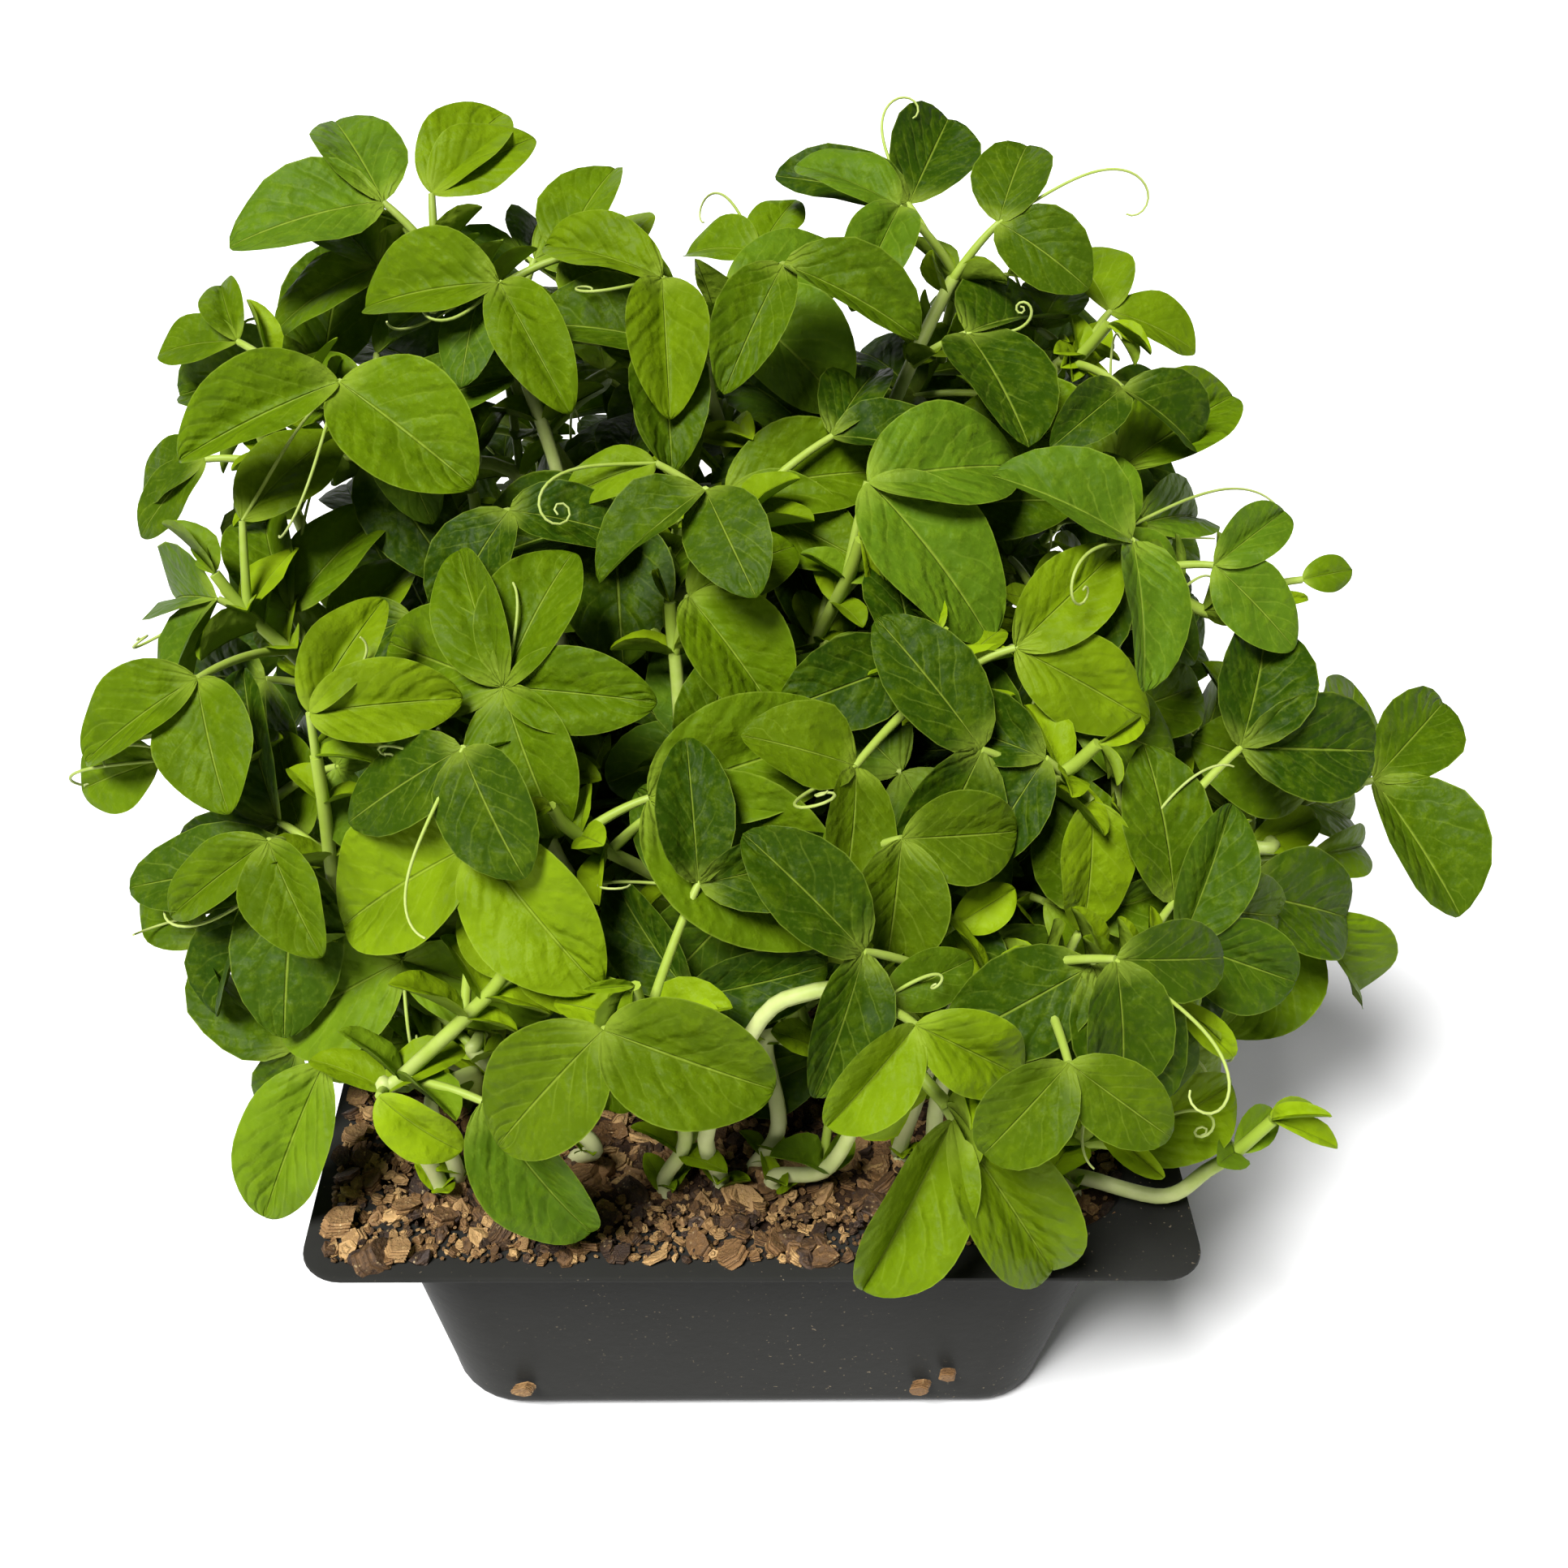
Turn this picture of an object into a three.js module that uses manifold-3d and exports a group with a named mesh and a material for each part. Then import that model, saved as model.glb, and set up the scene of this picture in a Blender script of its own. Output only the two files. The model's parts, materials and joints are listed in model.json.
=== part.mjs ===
// Tray of pea shoot microgreens: a square black plastic tray with a flat rim, the
// granular growing medium that fills it, and the pea seedlings that stand in it.
// Units are millimetres, +Z is up and -Y is the front. The origin is the middle of
// the tray's underside, which is what it rests on.

import * as THREE from 'three';
import { mergeVertices } from 'three/addons/utils/BufferGeometryUtils.js';
import Module from 'manifold-3d';

const wasm = await Module();
wasm.setup();

// ---- driving dimensions -------------------------------------------------------

const RIM_WIDTH = 127; // outside of the flat rim, a 5 inch tray
const TRAY_HEIGHT = 52;
const RIM_OVERHANG = 8; // how far the rim stands out from the wall
const RIM_CORNER = 6;
const BASE_WIDTH = 96;
const SHEET = 1.0; // plastic thickness
const BASE_EDGE = 4.5; // rounding between wall and floor
const WALL_CORNER = 12;
const FIT = 0.3; // gap kept between pieces that touch

const MEDIUM_DEPTH = 2; // medium's surface below the rim
const MEDIUM_TOP = TRAY_HEIGHT - MEDIUM_DEPTH;

const GRID = 7; // seedlings stand in a loose grid of GRID x GRID
const PITCH = 14;
const ROOT_JITTER = 3;
const SEED = 86;

const STEM_RADIUS = [1.3, 0.9]; // at the root and at the tip
const PETIOLE_RADIUS = 0.65;
const COLLAR = 1; // the lowest stretch of a stem stands upright on the medium
const BLADE = 0.9; // thickness of a leaflet at its midrib
const LEAF_GAP = 2.5; // clearance kept between points of leaves on different plants
const STEM_GAP = 2.5; // and between points of stems or stalks and of other plants
const STEM_SAMPLES = 60;
const STALK_SAMPLES = 8;
const LEAF_SAMPLES = 10; // rows of points along a leaflet
const EDGE_SAMPLES = 3; // and points from its midrib to its edge
const STEM_TRIES = 60;
const FILLING_TRIES = 30;
const SIDE_TRIES = 18;
const NOBODY = -1;

// The crown's outline: an ellipsoid that rises towards the back.
const CROWN_CENTRE = new THREE.Vector3(2, 14, TRAY_HEIGHT + 8);
const CROWN_RADII = new THREE.Vector3(94, 84, 90);
const CROWN_SHEAR = 0.45;
const CROWN_BOX = new THREE.Box3(
  new THREE.Vector3(-98, -78, 46),
  new THREE.Vector3(114, 98, 178),
);
const FILLING_SCALE = [0.7, 0.86]; // filling shoots end inside the crown's outline
const FILLING_PLAY = 0.18; // how far their lean strays, as a share of the outline
const FILLING_REACH = 0.96; // and how close to its edge they may lean
const FRONT_EDGE = -46; // the medium is left open in front of this
const LEAF_CLEAR = 3; // leaves stay this far above the rim and outside it
const FRONT_CLEAR = 84; // side leaves in front of the stems stay above this height

// A leaf faces out of the crown and towards the light, which comes from above the front.
const LIGHT = new THREE.Vector3(0, -1.4, 1.1);
const LEAN = new THREE.Vector3(0.45, 0.45, 0.25); // how far a leaf strays from that
const LENGTH_PLAY = [0.92, 1.08];
const WIDTH_SHARE = [0.62, 0.8]; // a leaflet's width as a share of its length
const FOLD = [0.15, 0.8]; // how far a leaflet is folded along its midrib, in radians
const DROOP = [0.25, 0.6]; // how far it bends down from hinge to tip, in radians
const WIDEST = 0.88; // below 1, a leaflet is widest nearer its hinge than its tip
const BLUNTNESS = 0.62; // the lower, the blunter its ends

// A crowded leaf gives way backwards and down, a step at a time.
const SINK = new THREE.Vector3(0, 1.6, -1.2);
const SINK_STEPS = 20;

const ROOT_SHARE = [0.5, 0.55]; // a plant is rooted about half way out to its leaves
const ROOT_FORWARD = 4;
const RISE = 16; // a stem starts nearly upright for this height, or
const RISE_SHARE = 0.4; // for this share of the height to its first leaf, if that is less
const COLLAR_RISE = 4; // and for this height where the stem's bends are stated
const SWAY = [4, 8]; // how far a stem strays sideways at the end of that and half way up
const BOW = 6; // and upwards half way up
const BEND_PLAY = 2; // how far a stated bend may give way
const TIP = [6, 2]; // a stem's tip past its last leaf: along the stem and up
const TENSION = 0.5;
const STALK_LENGTH = [10, 20];
const STALK_PLAY = [0.4, 0.5]; // how far a stalk strays sideways and up
const STALK_PULL = 0.7; // how much a stalk is in line with its leaflets
const STALK_DEPTH = 25; // a stalk comes from this far below its leaf
const STALK_BOW = 0.12; // its rise in the middle as a share of its length

const SIDE_LEAVES = [1, 0.86, 0.68, 0.52, 0.38]; // where along a stem leaves are tried
const FEATURE_REACH = 0.7; // feature shoots bear side leaves only below this share of the stem
const SIDE_TURN = 70; // degrees between a side leaf and straight outwards
const SIDE_PLAY = 50;
const SIDE_RISE = [5, 50];
const SIDE_STALK = [9, 19];
const SIDE_SPREAD = [38, 62]; // degrees from the middle of a pair to each leaflet
const SIDE_LENGTH = [17, 27];

// Shoots that give the crown its character, front to back. A shoot's stops follow its
// stem. A stop is a bend (x, y, z), or a leaf: its hinge, the headings of its leaflets,
// their length and, where it matters, the foot of its stalk on the stem. The first group
// hangs over the front edge, is seen stem by stem, and states where it is rooted. The
// others are placed in steps of 5 mm, and every heading in steps of 5 degrees.
const FRONT_SHOOTS = [
  // the arch over the front rim, with the largest pair at its end
  {
    root: [-5, -47],
    stops: [
      [[-7, -50, 67]],
      [[0, -50, 88]],
      [[6, -50, 93]],
      [[16, -55, 97], [20], 13, [12, -51, 94]],
      [[18, -54, 89]],
      [[25, -62, 82], [-110, -50], 28, [21, -58, 86]],
    ],
  },
  // the stem that bends out under it
  {
    root: [3, -47],
    stops: [
      [[10, -49, 58]],
      [[14, -50, 70]],
      [[15, -49, 80]],
      [[26, -42, 98], [160, 30], 10],
    ],
  },
  // the bright pair beside it
  {
    root: [-13, -47],
    stops: [
      [[-10, -49, 66]],
      [[-20, -58, 94], [-140, -25], 23, [-15, -52, 89]],
    ],
  },
  // the front left corner
  {
    root: [-46, -47],
    stops: [
      [[-51, -53, 77], [-45], 15, [-51, -49, 74]],
      [[-37, -54, 77], [-60], 24, [-49, -49, 76]],
      [[-33, -45, 91], [110, 40], 14, [-37, -46, 88]],
    ],
  },
  // two arches to the right
  {
    root: [22, -40],
    stops: [
      [[26, -47, 86]],
      [[31, -48, 94]],
      [[44, -48, 93]],
      [[54, -50, 89], [-60, -125, 170], 12, [50, -49, 91]],
    ],
  },
  {
    root: [26, -47],
    stops: [
      [[25, -50, 74]],
      [[29, -50, 84]],
      [[38, -48, 88]],
      [[50, -42, 86], [-15], 16],
    ],
  },
  // a low leaf at the front right corner, and a seedling that lies over the rim there
  {
    root: [40, -45],
    stops: [
      [[50, -51, 65], [25], 24, [45, -48, 62]],
    ],
  },
  {
    root: [47, -47],
    stops: [
      [[57, -52, 55]],
      [[66, -51, 57]],
      [[68, -49, 63], [110], 9, [67, -50, 61]],
    ],
  },
];

const CROWN_SHOOTS = [
  // past the left rim, and the upright stem behind with a stalk to the side
  [
    [[-60, -45, 75], [-120], 25],
  ],
  [
    [[-50, -35, 85], [-155, -20], 22],
  ],
  [
    [[-55, -25, 75]],
    [[-80, -25, 80], [130], 16, [-60, -25, 85]],
    [[-60, -25, 120], [5, 60], 19, [-60, -25, 105]],
  ],
  [
    [[-65, -20, 95], [105], 17],
    [[-85, -15, 105], [-170], 16],
  ],
  // the star of leaflets
  [
    [[-35, -25, 125], [-80, -15, 60, 105, 150], 21],
  ],
  // the two large leaves in the middle of the front
  [
    [[-25, -30, 95], [-135], 14],
    [[-15, -30, 110], [-35, 20], 30, [-25, -30, 105]],
  ],
  [
    [[20, -30, 115], [-60, 135], 25, [10, -20, 105]],
  ],
  // stepping up the middle
  [
    [[-10, -10, 130], [-50, 35], 20],
  ],
  [
    [[-15, 10, 140], [-160], 14],
    [[-5, 5, 140], [-30, 10], 23],
  ],
  [
    [[10, -5, 120], [-35], 16],
    [[15, 5, 140], [-45, 20], 27],
  ],
  [
    [[35, -15, 125], [45, -25], 22, [25, -15, 120]],
  ],
  [
    [[30, -25, 100]],
    [[45, -30, 110], [-80], 17, [40, -25, 110]],
  ],
  [
    [[40, -40, 100], [-20], 22],
    [[55, -35, 85], [-40], 15],
  ],
  // the right side, which reaches well past the rim
  [
    [[40, -20, 100]],
    [[50, -25, 100]],
    [[70, -25, 90], [5], 27, [60, -25, 95]],
  ],
  [
    [[85, -10, 85], [20], 16],
    [[85, -20, 80], [-20, -115], 23],
  ],
  [
    [[80, -10, 85]],
    [[85, -5, 95], [60, 175], 23],
  ],
  [
    [[35, -10, 105], [10], 22],
    [[60, 0, 100], [85], 16],
  ],
  [
    [[80, 0, 100], [90], 16],
    [[60, 10, 115], [45], 13],
  ],
  [
    [[50, 0, 135], [-30, 85], 16],
    [[65, 0, 130], [40, -40], 16],
    [[80, 5, 125], [20], 10],
  ],
  // the top, right to left
  [
    [[45, 40, 140]],
    [[55, 45, 150], [-10, 105], 17],
  ],
  [
    [[55, 40, 140], [5, -50], 14],
  ],
  [
    [[25, 40, 145], [125, 20], 15],
    [[30, 45, 155]],
    [[40, 45, 160], [15], 12],
  ],
  [
    [[-5, 35, 155], [-35, 30], 23],
    [[0, 55, 155], [155, 65], 14],
  ],
  [
    [[-15, 30, 145], [110, -80], 18],
  ],
  [
    [[-35, 50, 155], [25], 17],
    [[-20, 55, 155], [100], 12],
  ],
  [
    [[-50, 50, 155], [160], 14],
    [[-50, 50, 165], [35, 60], 20],
  ],
  [
    [[-40, 45, 140], [75], 15],
    [[-60, 40, 145], [35], 18],
  ],
  [
    [[-45, 30, 130], [75, 125], 15],
  ],
  [
    [[-60, 35, 140], [170], 18],
    [[-80, 40, 145], [110, 170], 15],
  ],
  [
    [[-70, 10, 115], [110, 50], 23],
    [[-75, 10, 130], [50], 22],
  ],
  [
    [[-50, 0, 120], [-170], 18],
  ],
  [
    [[-85, 30, 130], [170, -155], 16],
  ],
];

const FEATURE_SHOOTS = [...FRONT_SHOOTS, ...CROWN_SHOOTS.map((stops) => ({ stops }))];

// ---- small helpers --------------------------------------------------------------

const rad = THREE.MathUtils.degToRad;
const UP = new THREE.Vector3(0, 0, 1);
const vec = (x, y, z) => new THREE.Vector3(x, y, z);

// A seeded row of numbers, so that every run grows the same plants.
function seeded(seed) {
  let state = seed;
  return (low = 0, high = 1) => {
    state = (state * 1664525 + 1013904223) % 4294967296;
    return low + ((high - low) * state) / 4294967296;
  };
}

function direction(heading, rise) {
  const h = rad(heading);
  const r = rad(rise);
  return vec(Math.cos(h) * Math.cos(r), Math.sin(h) * Math.cos(r), Math.sin(r));
}

// ---- leaflets -------------------------------------------------------------------

// The way a leaf at this point faces: out of the crown and towards the light.
function facing(hinge, lean) {
  const outward = hinge.clone().sub(CROWN_CENTRE).divide(CROWN_RADII).divide(CROWN_RADII);
  return outward.normalize().add(LIGHT).add(lean).normalize();
}

// What sets one leaflet apart from the next.
function shapeOf(heading, length, random) {
  return {
    heading,
    length,
    width: length * random(...WIDTH_SHARE),
    fold: random(...FOLD),
    droop: random(...DROOP),
  };
}

// A leaflet starts at its hinge, runs along `along` and faces `face`.
function leaflet(hinge, face, shape) {
  const tilt = new THREE.Quaternion().setFromUnitVectors(UP, face);
  const along = direction(shape.heading, 0).applyQuaternion(tilt);
  return { ...shape, hinge, along, face, across: along.clone().cross(face) };
}

// The point at u along the midrib (0 hinge, 1 tip) and v across it (-1 to 1).
function leafletPoint(leaf, u, v) {
  const bend = leaf.droop * u;
  const reach = (leaf.length * Math.sin(bend)) / leaf.droop;
  const drop = (leaf.length * (1 - Math.cos(bend))) / leaf.droop;
  const half = (leaf.width / 2) * Math.max(0, Math.sin(Math.PI * u ** WIDEST)) ** BLUNTNESS;
  const side = v * half * Math.cos(leaf.fold);
  const lift = Math.abs(v) * half * Math.sin(leaf.fold);
  return leaf.hinge.clone()
    .addScaledVector(leaf.along, reach + lift * Math.sin(bend))
    .addScaledVector(leaf.face, lift * Math.cos(bend) - drop)
    .addScaledVector(leaf.across, side);
}

function leafletSamples(leaf) {
  const points = [];
  for (let i = 0; i < LEAF_SAMPLES; i += 1) {
    for (let j = -EDGE_SAMPLES; j <= EDGE_SAMPLES; j += 1) {
      points.push(leafletPoint(leaf, (i + 0.5) / LEAF_SAMPLES, j / EDGE_SAMPLES));
    }
  }
  return points;
}

// ---- keeping the plants clear of each other ---------------------------------------

class Space {
  constructor() {
    this.points = [];
    this.owners = [];
  }

  add(points, owner) {
    for (const point of points) {
      this.points.push(point);
      this.owners.push(owner);
    }
  }

  // How many of the points come closer than gap to another owner's points.
  crowding(points, gap, owner) {
    const box = new THREE.Box3().setFromPoints(points).expandByScalar(gap);
    const close = this.points.filter((p, i) => this.owners[i] !== owner && box.containsPoint(p));
    const limit = gap * gap;
    return points.filter((p) => close.some((q) => p.distanceToSquared(q) < limit)).length;
  }
}

// Leaves stay over the tray's rim or outside it, inside the crown's box, and leave the
// front of the medium open.
function inBounds(points) {
  return points.every((p) => {
    const edge = RIM_WIDTH / 2 + LEAF_CLEAR;
    const overTray = Math.abs(p.x) < edge && Math.abs(p.y) < edge;
    const floor = overTray ? TRAY_HEIGHT + LEAF_CLEAR : CROWN_BOX.min.z;
    const frontOpen = p.y > FRONT_EDGE || p.z > FRONT_CLEAR;
    return p.z > floor && frontOpen && CROWN_BOX.containsPoint(p);
  });
}

// ---- growing the plants -----------------------------------------------------------

function rootGrid(random) {
  const roots = [];
  for (let row = 0; row < GRID; row += 1) {
    for (let column = 0; column < GRID; column += 1) {
      const x = (column - (GRID - 1) / 2) * PITCH + random(-ROOT_JITTER, ROOT_JITTER);
      const y = (row - (GRID - 1) / 2) * PITCH + random(-ROOT_JITTER, ROOT_JITTER);
      roots.push(vec(x, y, MEDIUM_TOP + FIT));
    }
  }
  return roots;
}

// Takes the free root nearest to half way out to the leaves.
function takeRoot(roots, stops) {
  const middle = vec(0, 0, 0);
  stops.forEach((stop) => middle.addScaledVector(stop.hinge, 1 / stops.length));
  const wanted = vec(middle.x * ROOT_SHARE[0], middle.y * ROOT_SHARE[1] - ROOT_FORWARD, MEDIUM_TOP + FIT);
  roots.sort((a, b) => a.distanceToSquared(wanted) - b.distanceToSquared(wanted));
  return roots.shift();
}

// A leaf with its hinge at this point and leaflets of these headings. One with no
// leaflets is only a bend of the stem.
function leafAt(hinge, headings, length, random) {
  const lean = vec(random(-1, 1), random(-1, 1), random(-1, 1)).multiply(LEAN);
  const shapes = headings.map((heading) => shapeOf(heading, length * random(...LENGTH_PLAY), random));
  const leaf = { hinge, lean, shapes };
  unfold(leaf);
  return leaf;
}

function unfold(leaf) {
  const face = facing(leaf.hinge, leaf.lean);
  leaf.blades = leaf.shapes.map((shape) => leaflet(leaf.hinge, face, shape));
  leaf.samples = leaf.blades.flatMap(leafletSamples);
}

// Moves a crowded leaf back and down until it is clear of the plants before it.
function settle(leaf, space, owner) {
  for (let step = 0; step < SINK_STEPS && leaf.samples.length > 0; step += 1) {
    if (space.crowding(leaf.samples, LEAF_GAP, owner) === 0) {
      break;
    }
    leaf.hinge.add(SINK);
    unfold(leaf);
  }
}

// Where a leaf's stalk leaves the stem: where that is stated, with a little play after
// the first try, or else back from the hinge, against its leaflets.
function stalkFoot(leaf, root, attempt, random) {
  if (leaf.stated) {
    const play = attempt > 0 ? BEND_PLAY : 0;
    return leaf.stated.clone().add(vec(random(-play, play), random(-play, play), random(-play, play)));
  }
  const pull = leaf.hinge.clone().sub(vec(root.x, root.y, leaf.hinge.z - STALK_DEPTH)).normalize();
  leaf.blades.forEach((blade) => pull.addScaledVector(blade.along, STALK_PULL / leaf.blades.length));
  const [aside, up] = STALK_PLAY;
  pull.add(vec(random(-aside, aside), random(-aside, aside), random(0, up))).normalize();
  return leaf.hinge.clone().addScaledVector(pull, -random(...STALK_LENGTH));
}

// A stem's curve through the feet of its stalks. Where the root is stated it goes straight
// to the first of them, and otherwise it rises and sways first.
function stemCurve(root, feet, steered, random) {
  const [first, last] = [feet[0], feet[feet.length - 1]];
  const start = [root, root.clone().add(vec(0, 0, COLLAR_RISE))];
  if (!steered) {
    const rise = Math.min(RISE, RISE_SHARE * (first.z - root.z));
    start[1] = root.clone().add(vec(random(-SWAY[0], SWAY[0]), random(-SWAY[0], SWAY[0]), rise));
    const sway = vec(random(-SWAY[1], SWAY[1]), random(-SWAY[1], SWAY[1]), random(0, BOW));
    start.push(start[1].clone().lerp(first, 0.5).add(sway));
  }
  const before = feet.length > 1 ? feet[feet.length - 2] : start[start.length - 1];
  const tip = last.clone().addScaledVector(last.clone().sub(before).normalize(), TIP[0]);
  tip.z += TIP[1];
  return new THREE.CatmullRomCurve3([...start, ...feet, tip], false, 'catmullrom', TENSION);
}

function stalkPoints(foot, hinge, count) {
  const bow = foot.clone().lerp(hinge, 0.5).add(vec(0, 0, STALK_BOW * foot.distanceTo(hinge)));
  return new THREE.QuadraticBezierCurve3(foot, bow, hinge).getPoints(count);
}

// Tries stems until one is clear of every other plant, and keeps the best.
function routeStem(shoot, space, random) {
  let best = null;
  for (let attempt = 0; attempt < STEM_TRIES; attempt += 1) {
    const feet = shoot.stops.map((stop) => stalkFoot(stop, shoot.root, attempt, random));
    const curve = stemCurve(shoot.root, feet, shoot.steered, random);
    const samples = curve.getPoints(STEM_SAMPLES);
    feet.forEach((foot, i) => samples.push(...stalkPoints(foot, shoot.stops[i].hinge, STALK_SAMPLES)));
    const crowding = space.crowding(samples, STEM_GAP, shoot.id);
    if (best === null || crowding < best.crowding) {
      best = { crowding, feet, curve, samples };
    }
    if (crowding === 0) {
      break;
    }
  }
  const lead = shoot.steered ? 2 : 3; // points of the curve before the first foot
  best.feet.forEach((foot, i) => {
    shoot.stops[i].foot = foot;
    shoot.stops[i].at = (i + lead) / (best.feet.length + lead);
  });
  shoot.curve = best.curve;
  space.add(best.samples, shoot.id);
}

// A leaf somewhere along a stem, on the side that `side` (degrees) points to.
function sideLeaf(shoot, at, side, random) {
  const foot = shoot.curve.getPoint(at);
  const heading = side + random(-SIDE_PLAY, SIDE_PLAY);
  const way = direction(heading, random(...SIDE_RISE));
  const hinge = foot.clone().addScaledVector(way, random(...SIDE_STALK));
  const spread = random(...SIDE_SPREAD);
  const leaf = leafAt(hinge, [heading - spread, heading + spread], random(...SIDE_LENGTH), random);
  return Object.assign(leaf, { foot, at });
}

function addSideLeaf(shoot, at, side, space, random) {
  for (let attempt = 0; attempt < SIDE_TRIES; attempt += 1) {
    const leaf = sideLeaf(shoot, at, side, random);
    const stalk = stalkPoints(leaf.foot, leaf.hinge, STALK_SAMPLES).slice(1);
    const clear = inBounds(leaf.samples) && space.crowding(leaf.samples, LEAF_GAP, NOBODY) === 0
      && space.crowding(stalk, STEM_GAP, shoot.id) === 0;
    if (clear) {
      shoot.stops.push(leaf);
      space.add([...leaf.samples, ...stalk], shoot.id);
      return;
    }
  }
}

// The point of the crown's outline that a root leans out to.
function crownPoint(root, scale, random) {
  const reach = (GRID * PITCH) / 2;
  const lean = new THREE.Vector2(root.x / reach, root.y / reach);
  const play = () => random(-FILLING_PLAY, FILLING_PLAY);
  lean.add(new THREE.Vector2(play(), play()));
  lean.clampLength(0, FILLING_REACH);
  const height = Math.sqrt(1 - lean.lengthSq());
  const point = vec(lean.x, lean.y, height).multiply(CROWN_RADII).multiplyScalar(scale);
  point.z += CROWN_SHEAR * point.y;
  return point.add(CROWN_CENTRE);
}

function fillingShoot(id, root, space, random) {
  let best = null;
  for (let attempt = 0; attempt < FILLING_TRIES; attempt += 1) {
    const top = crownPoint(root, random(...FILLING_SCALE), random);
    const sway = vec(random(-SWAY[1], SWAY[1]), random(-SWAY[1], SWAY[1]), random(BOW, 2 * BOW));
    const shoulder = root.clone().lerp(top, 0.5).add(sway);
    const curve = stemCurve(root, [shoulder, top], false, random);
    const samples = curve.getPoints(STEM_SAMPLES);
    const crowding = space.crowding(samples, STEM_GAP, id);
    if (best === null || crowding < best.crowding) {
      best = { crowding, curve, samples };
    }
    if (crowding === 0) {
      break;
    }
  }
  space.add(best.samples, id);
  return { id, root, stops: [], curve: best.curve };
}

// A feature shoot's stops, and the root it stands on.
function featureShoot({ root, stops }, id, roots, random) {
  const shoot = { id, steered: root !== undefined };
  shoot.stops = stops.map(([place, headings = [], length = 0, foot = null]) => {
    const stop = leafAt(vec(...place), headings, length, random);
    const fixed = headings.length === 0 ? place : foot;
    stop.stated = fixed && vec(...fixed);
    return stop;
  });
  shoot.root = takeRoot(roots, shoot.stops);
  if (shoot.steered) {
    shoot.root = vec(...root, MEDIUM_TOP + FIT);
  }
  return shoot;
}

function growPlants() {
  const random = seeded(SEED);
  const space = new Space();
  const roots = rootGrid(random);
  const shoots = FEATURE_SHOOTS.map((feature, id) => featureShoot(feature, id, roots, random));
  for (const shoot of shoots) {
    for (const stop of shoot.stops) {
      settle(stop, space, shoot.id);
      space.add(stop.samples, shoot.id);
    }
  }
  shoots.forEach((shoot) => routeStem(shoot, space, random));
  roots.forEach((root) => shoots.push(fillingShoot(shoots.length, root, space, random)));
  SIDE_LEAVES.forEach((at, order) => {
    const side = order % 2 === 0 ? SIDE_TURN : -SIDE_TURN;
    for (const shoot of shoots) {
      const filling = shoot.id >= FEATURE_SHOOTS.length;
      if (filling || at < FEATURE_REACH) {
        const outward = THREE.MathUtils.radToDeg(Math.atan2(shoot.root.y, shoot.root.x));
        addSideLeaf(shoot, at, outward + side, space, random);
      }
    }
  });
  return shoots;
}

// ---- solids -------------------------------------------------------------------------

const WELD = 1e-4; // points closer than this are one
const BLADE_ROWS = [0.27, 0.68]; // where along its midrib a leaflet has a cross section
const STEM_SIDES = 5;
const STALK_SIDES = 3;
const STEM_STEPS = 5;
const STEM_SPARE = 0.09; // no step this close to a stalk's foot, as a share of the stem
const STALK_END = 0.6; // how far a stalk runs on into its leaflets
const ACROSS_STEMS = new THREE.Vector3(0.8, 0.6, 0); // a direction that no stem runs in

// A closed mesh from a list of points and the triangles between them.
function geometryFrom(points, triangles) {
  const geometry = new THREE.BufferGeometry();
  const numbers = points.flatMap((p) => [p.x, p.y, p.z]);
  geometry.setAttribute('position', new THREE.Float32BufferAttribute(numbers, 3));
  geometry.setIndex(triangles.flat());
  return geometry;
}

function solidFrom(geometry) {
  const bare = geometry.clone();
  bare.deleteAttribute('normal');
  bare.deleteAttribute('uv');
  const merged = mergeVertices(bare, WELD);
  return new wasm.Manifold(new wasm.Mesh({
    numProp: 3,
    vertProperties: new Float32Array(merged.attributes.position.array),
    triVerts: new Uint32Array(merged.index.array),
  }));
}

function geometryOf(solid) {
  const mesh = solid.getMesh();
  const geometry = new THREE.BufferGeometry();
  geometry.setAttribute('position', new THREE.Float32BufferAttribute(mesh.vertProperties, 3));
  geometry.setIndex(new THREE.Uint32BufferAttribute(mesh.triVerts, 1));
  return geometry;
}

// Rings of points joined in order, the first and the last one closed by a fan.
function loft(rings) {
  const count = rings[0].length;
  const points = rings.flat();
  const triangles = [];
  for (let ring = 0; ring < rings.length - 1; ring += 1) {
    for (let i = 0; i < count; i += 1) {
      const a = ring * count + i;
      const b = ring * count + ((i + 1) % count);
      triangles.push([a, b, b + count], [a, b + count, a + count]);
    }
  }
  for (let i = 1; i < count - 1; i += 1) {
    const end = (rings.length - 1) * count;
    triangles.push([0, i + 1, i], [end, end + i, end + i + 1]);
  }
  return geometryFrom(points, triangles);
}

// A thin lens: full thickness at the midrib, nothing at the edge.
function bladeSolid(leaf) {
  const lens = (u) => {
    const middle = leafletPoint(leaf, u, 0);
    return [
      leafletPoint(leaf, u, -1),
      middle.clone().addScaledVector(leaf.face, BLADE / 2),
      leafletPoint(leaf, u, 1),
      middle.addScaledVector(leaf.face, -BLADE / 2),
    ];
  };
  const points = [leafletPoint(leaf, 0, 0), ...BLADE_ROWS.flatMap(lens), leafletPoint(leaf, 1, 0)];
  const triangles = [];
  for (let i = 0; i < 4; i += 1) {
    const next = (i + 1) % 4;
    triangles.push([0, 1 + next, 1 + i], [9, 5 + i, 5 + next]);
    triangles.push([1 + i, 1 + next, 5 + next], [1 + i, 5 + next, 5 + i]);
  }
  return solidFrom(geometryFrom(points, triangles));
}

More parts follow.
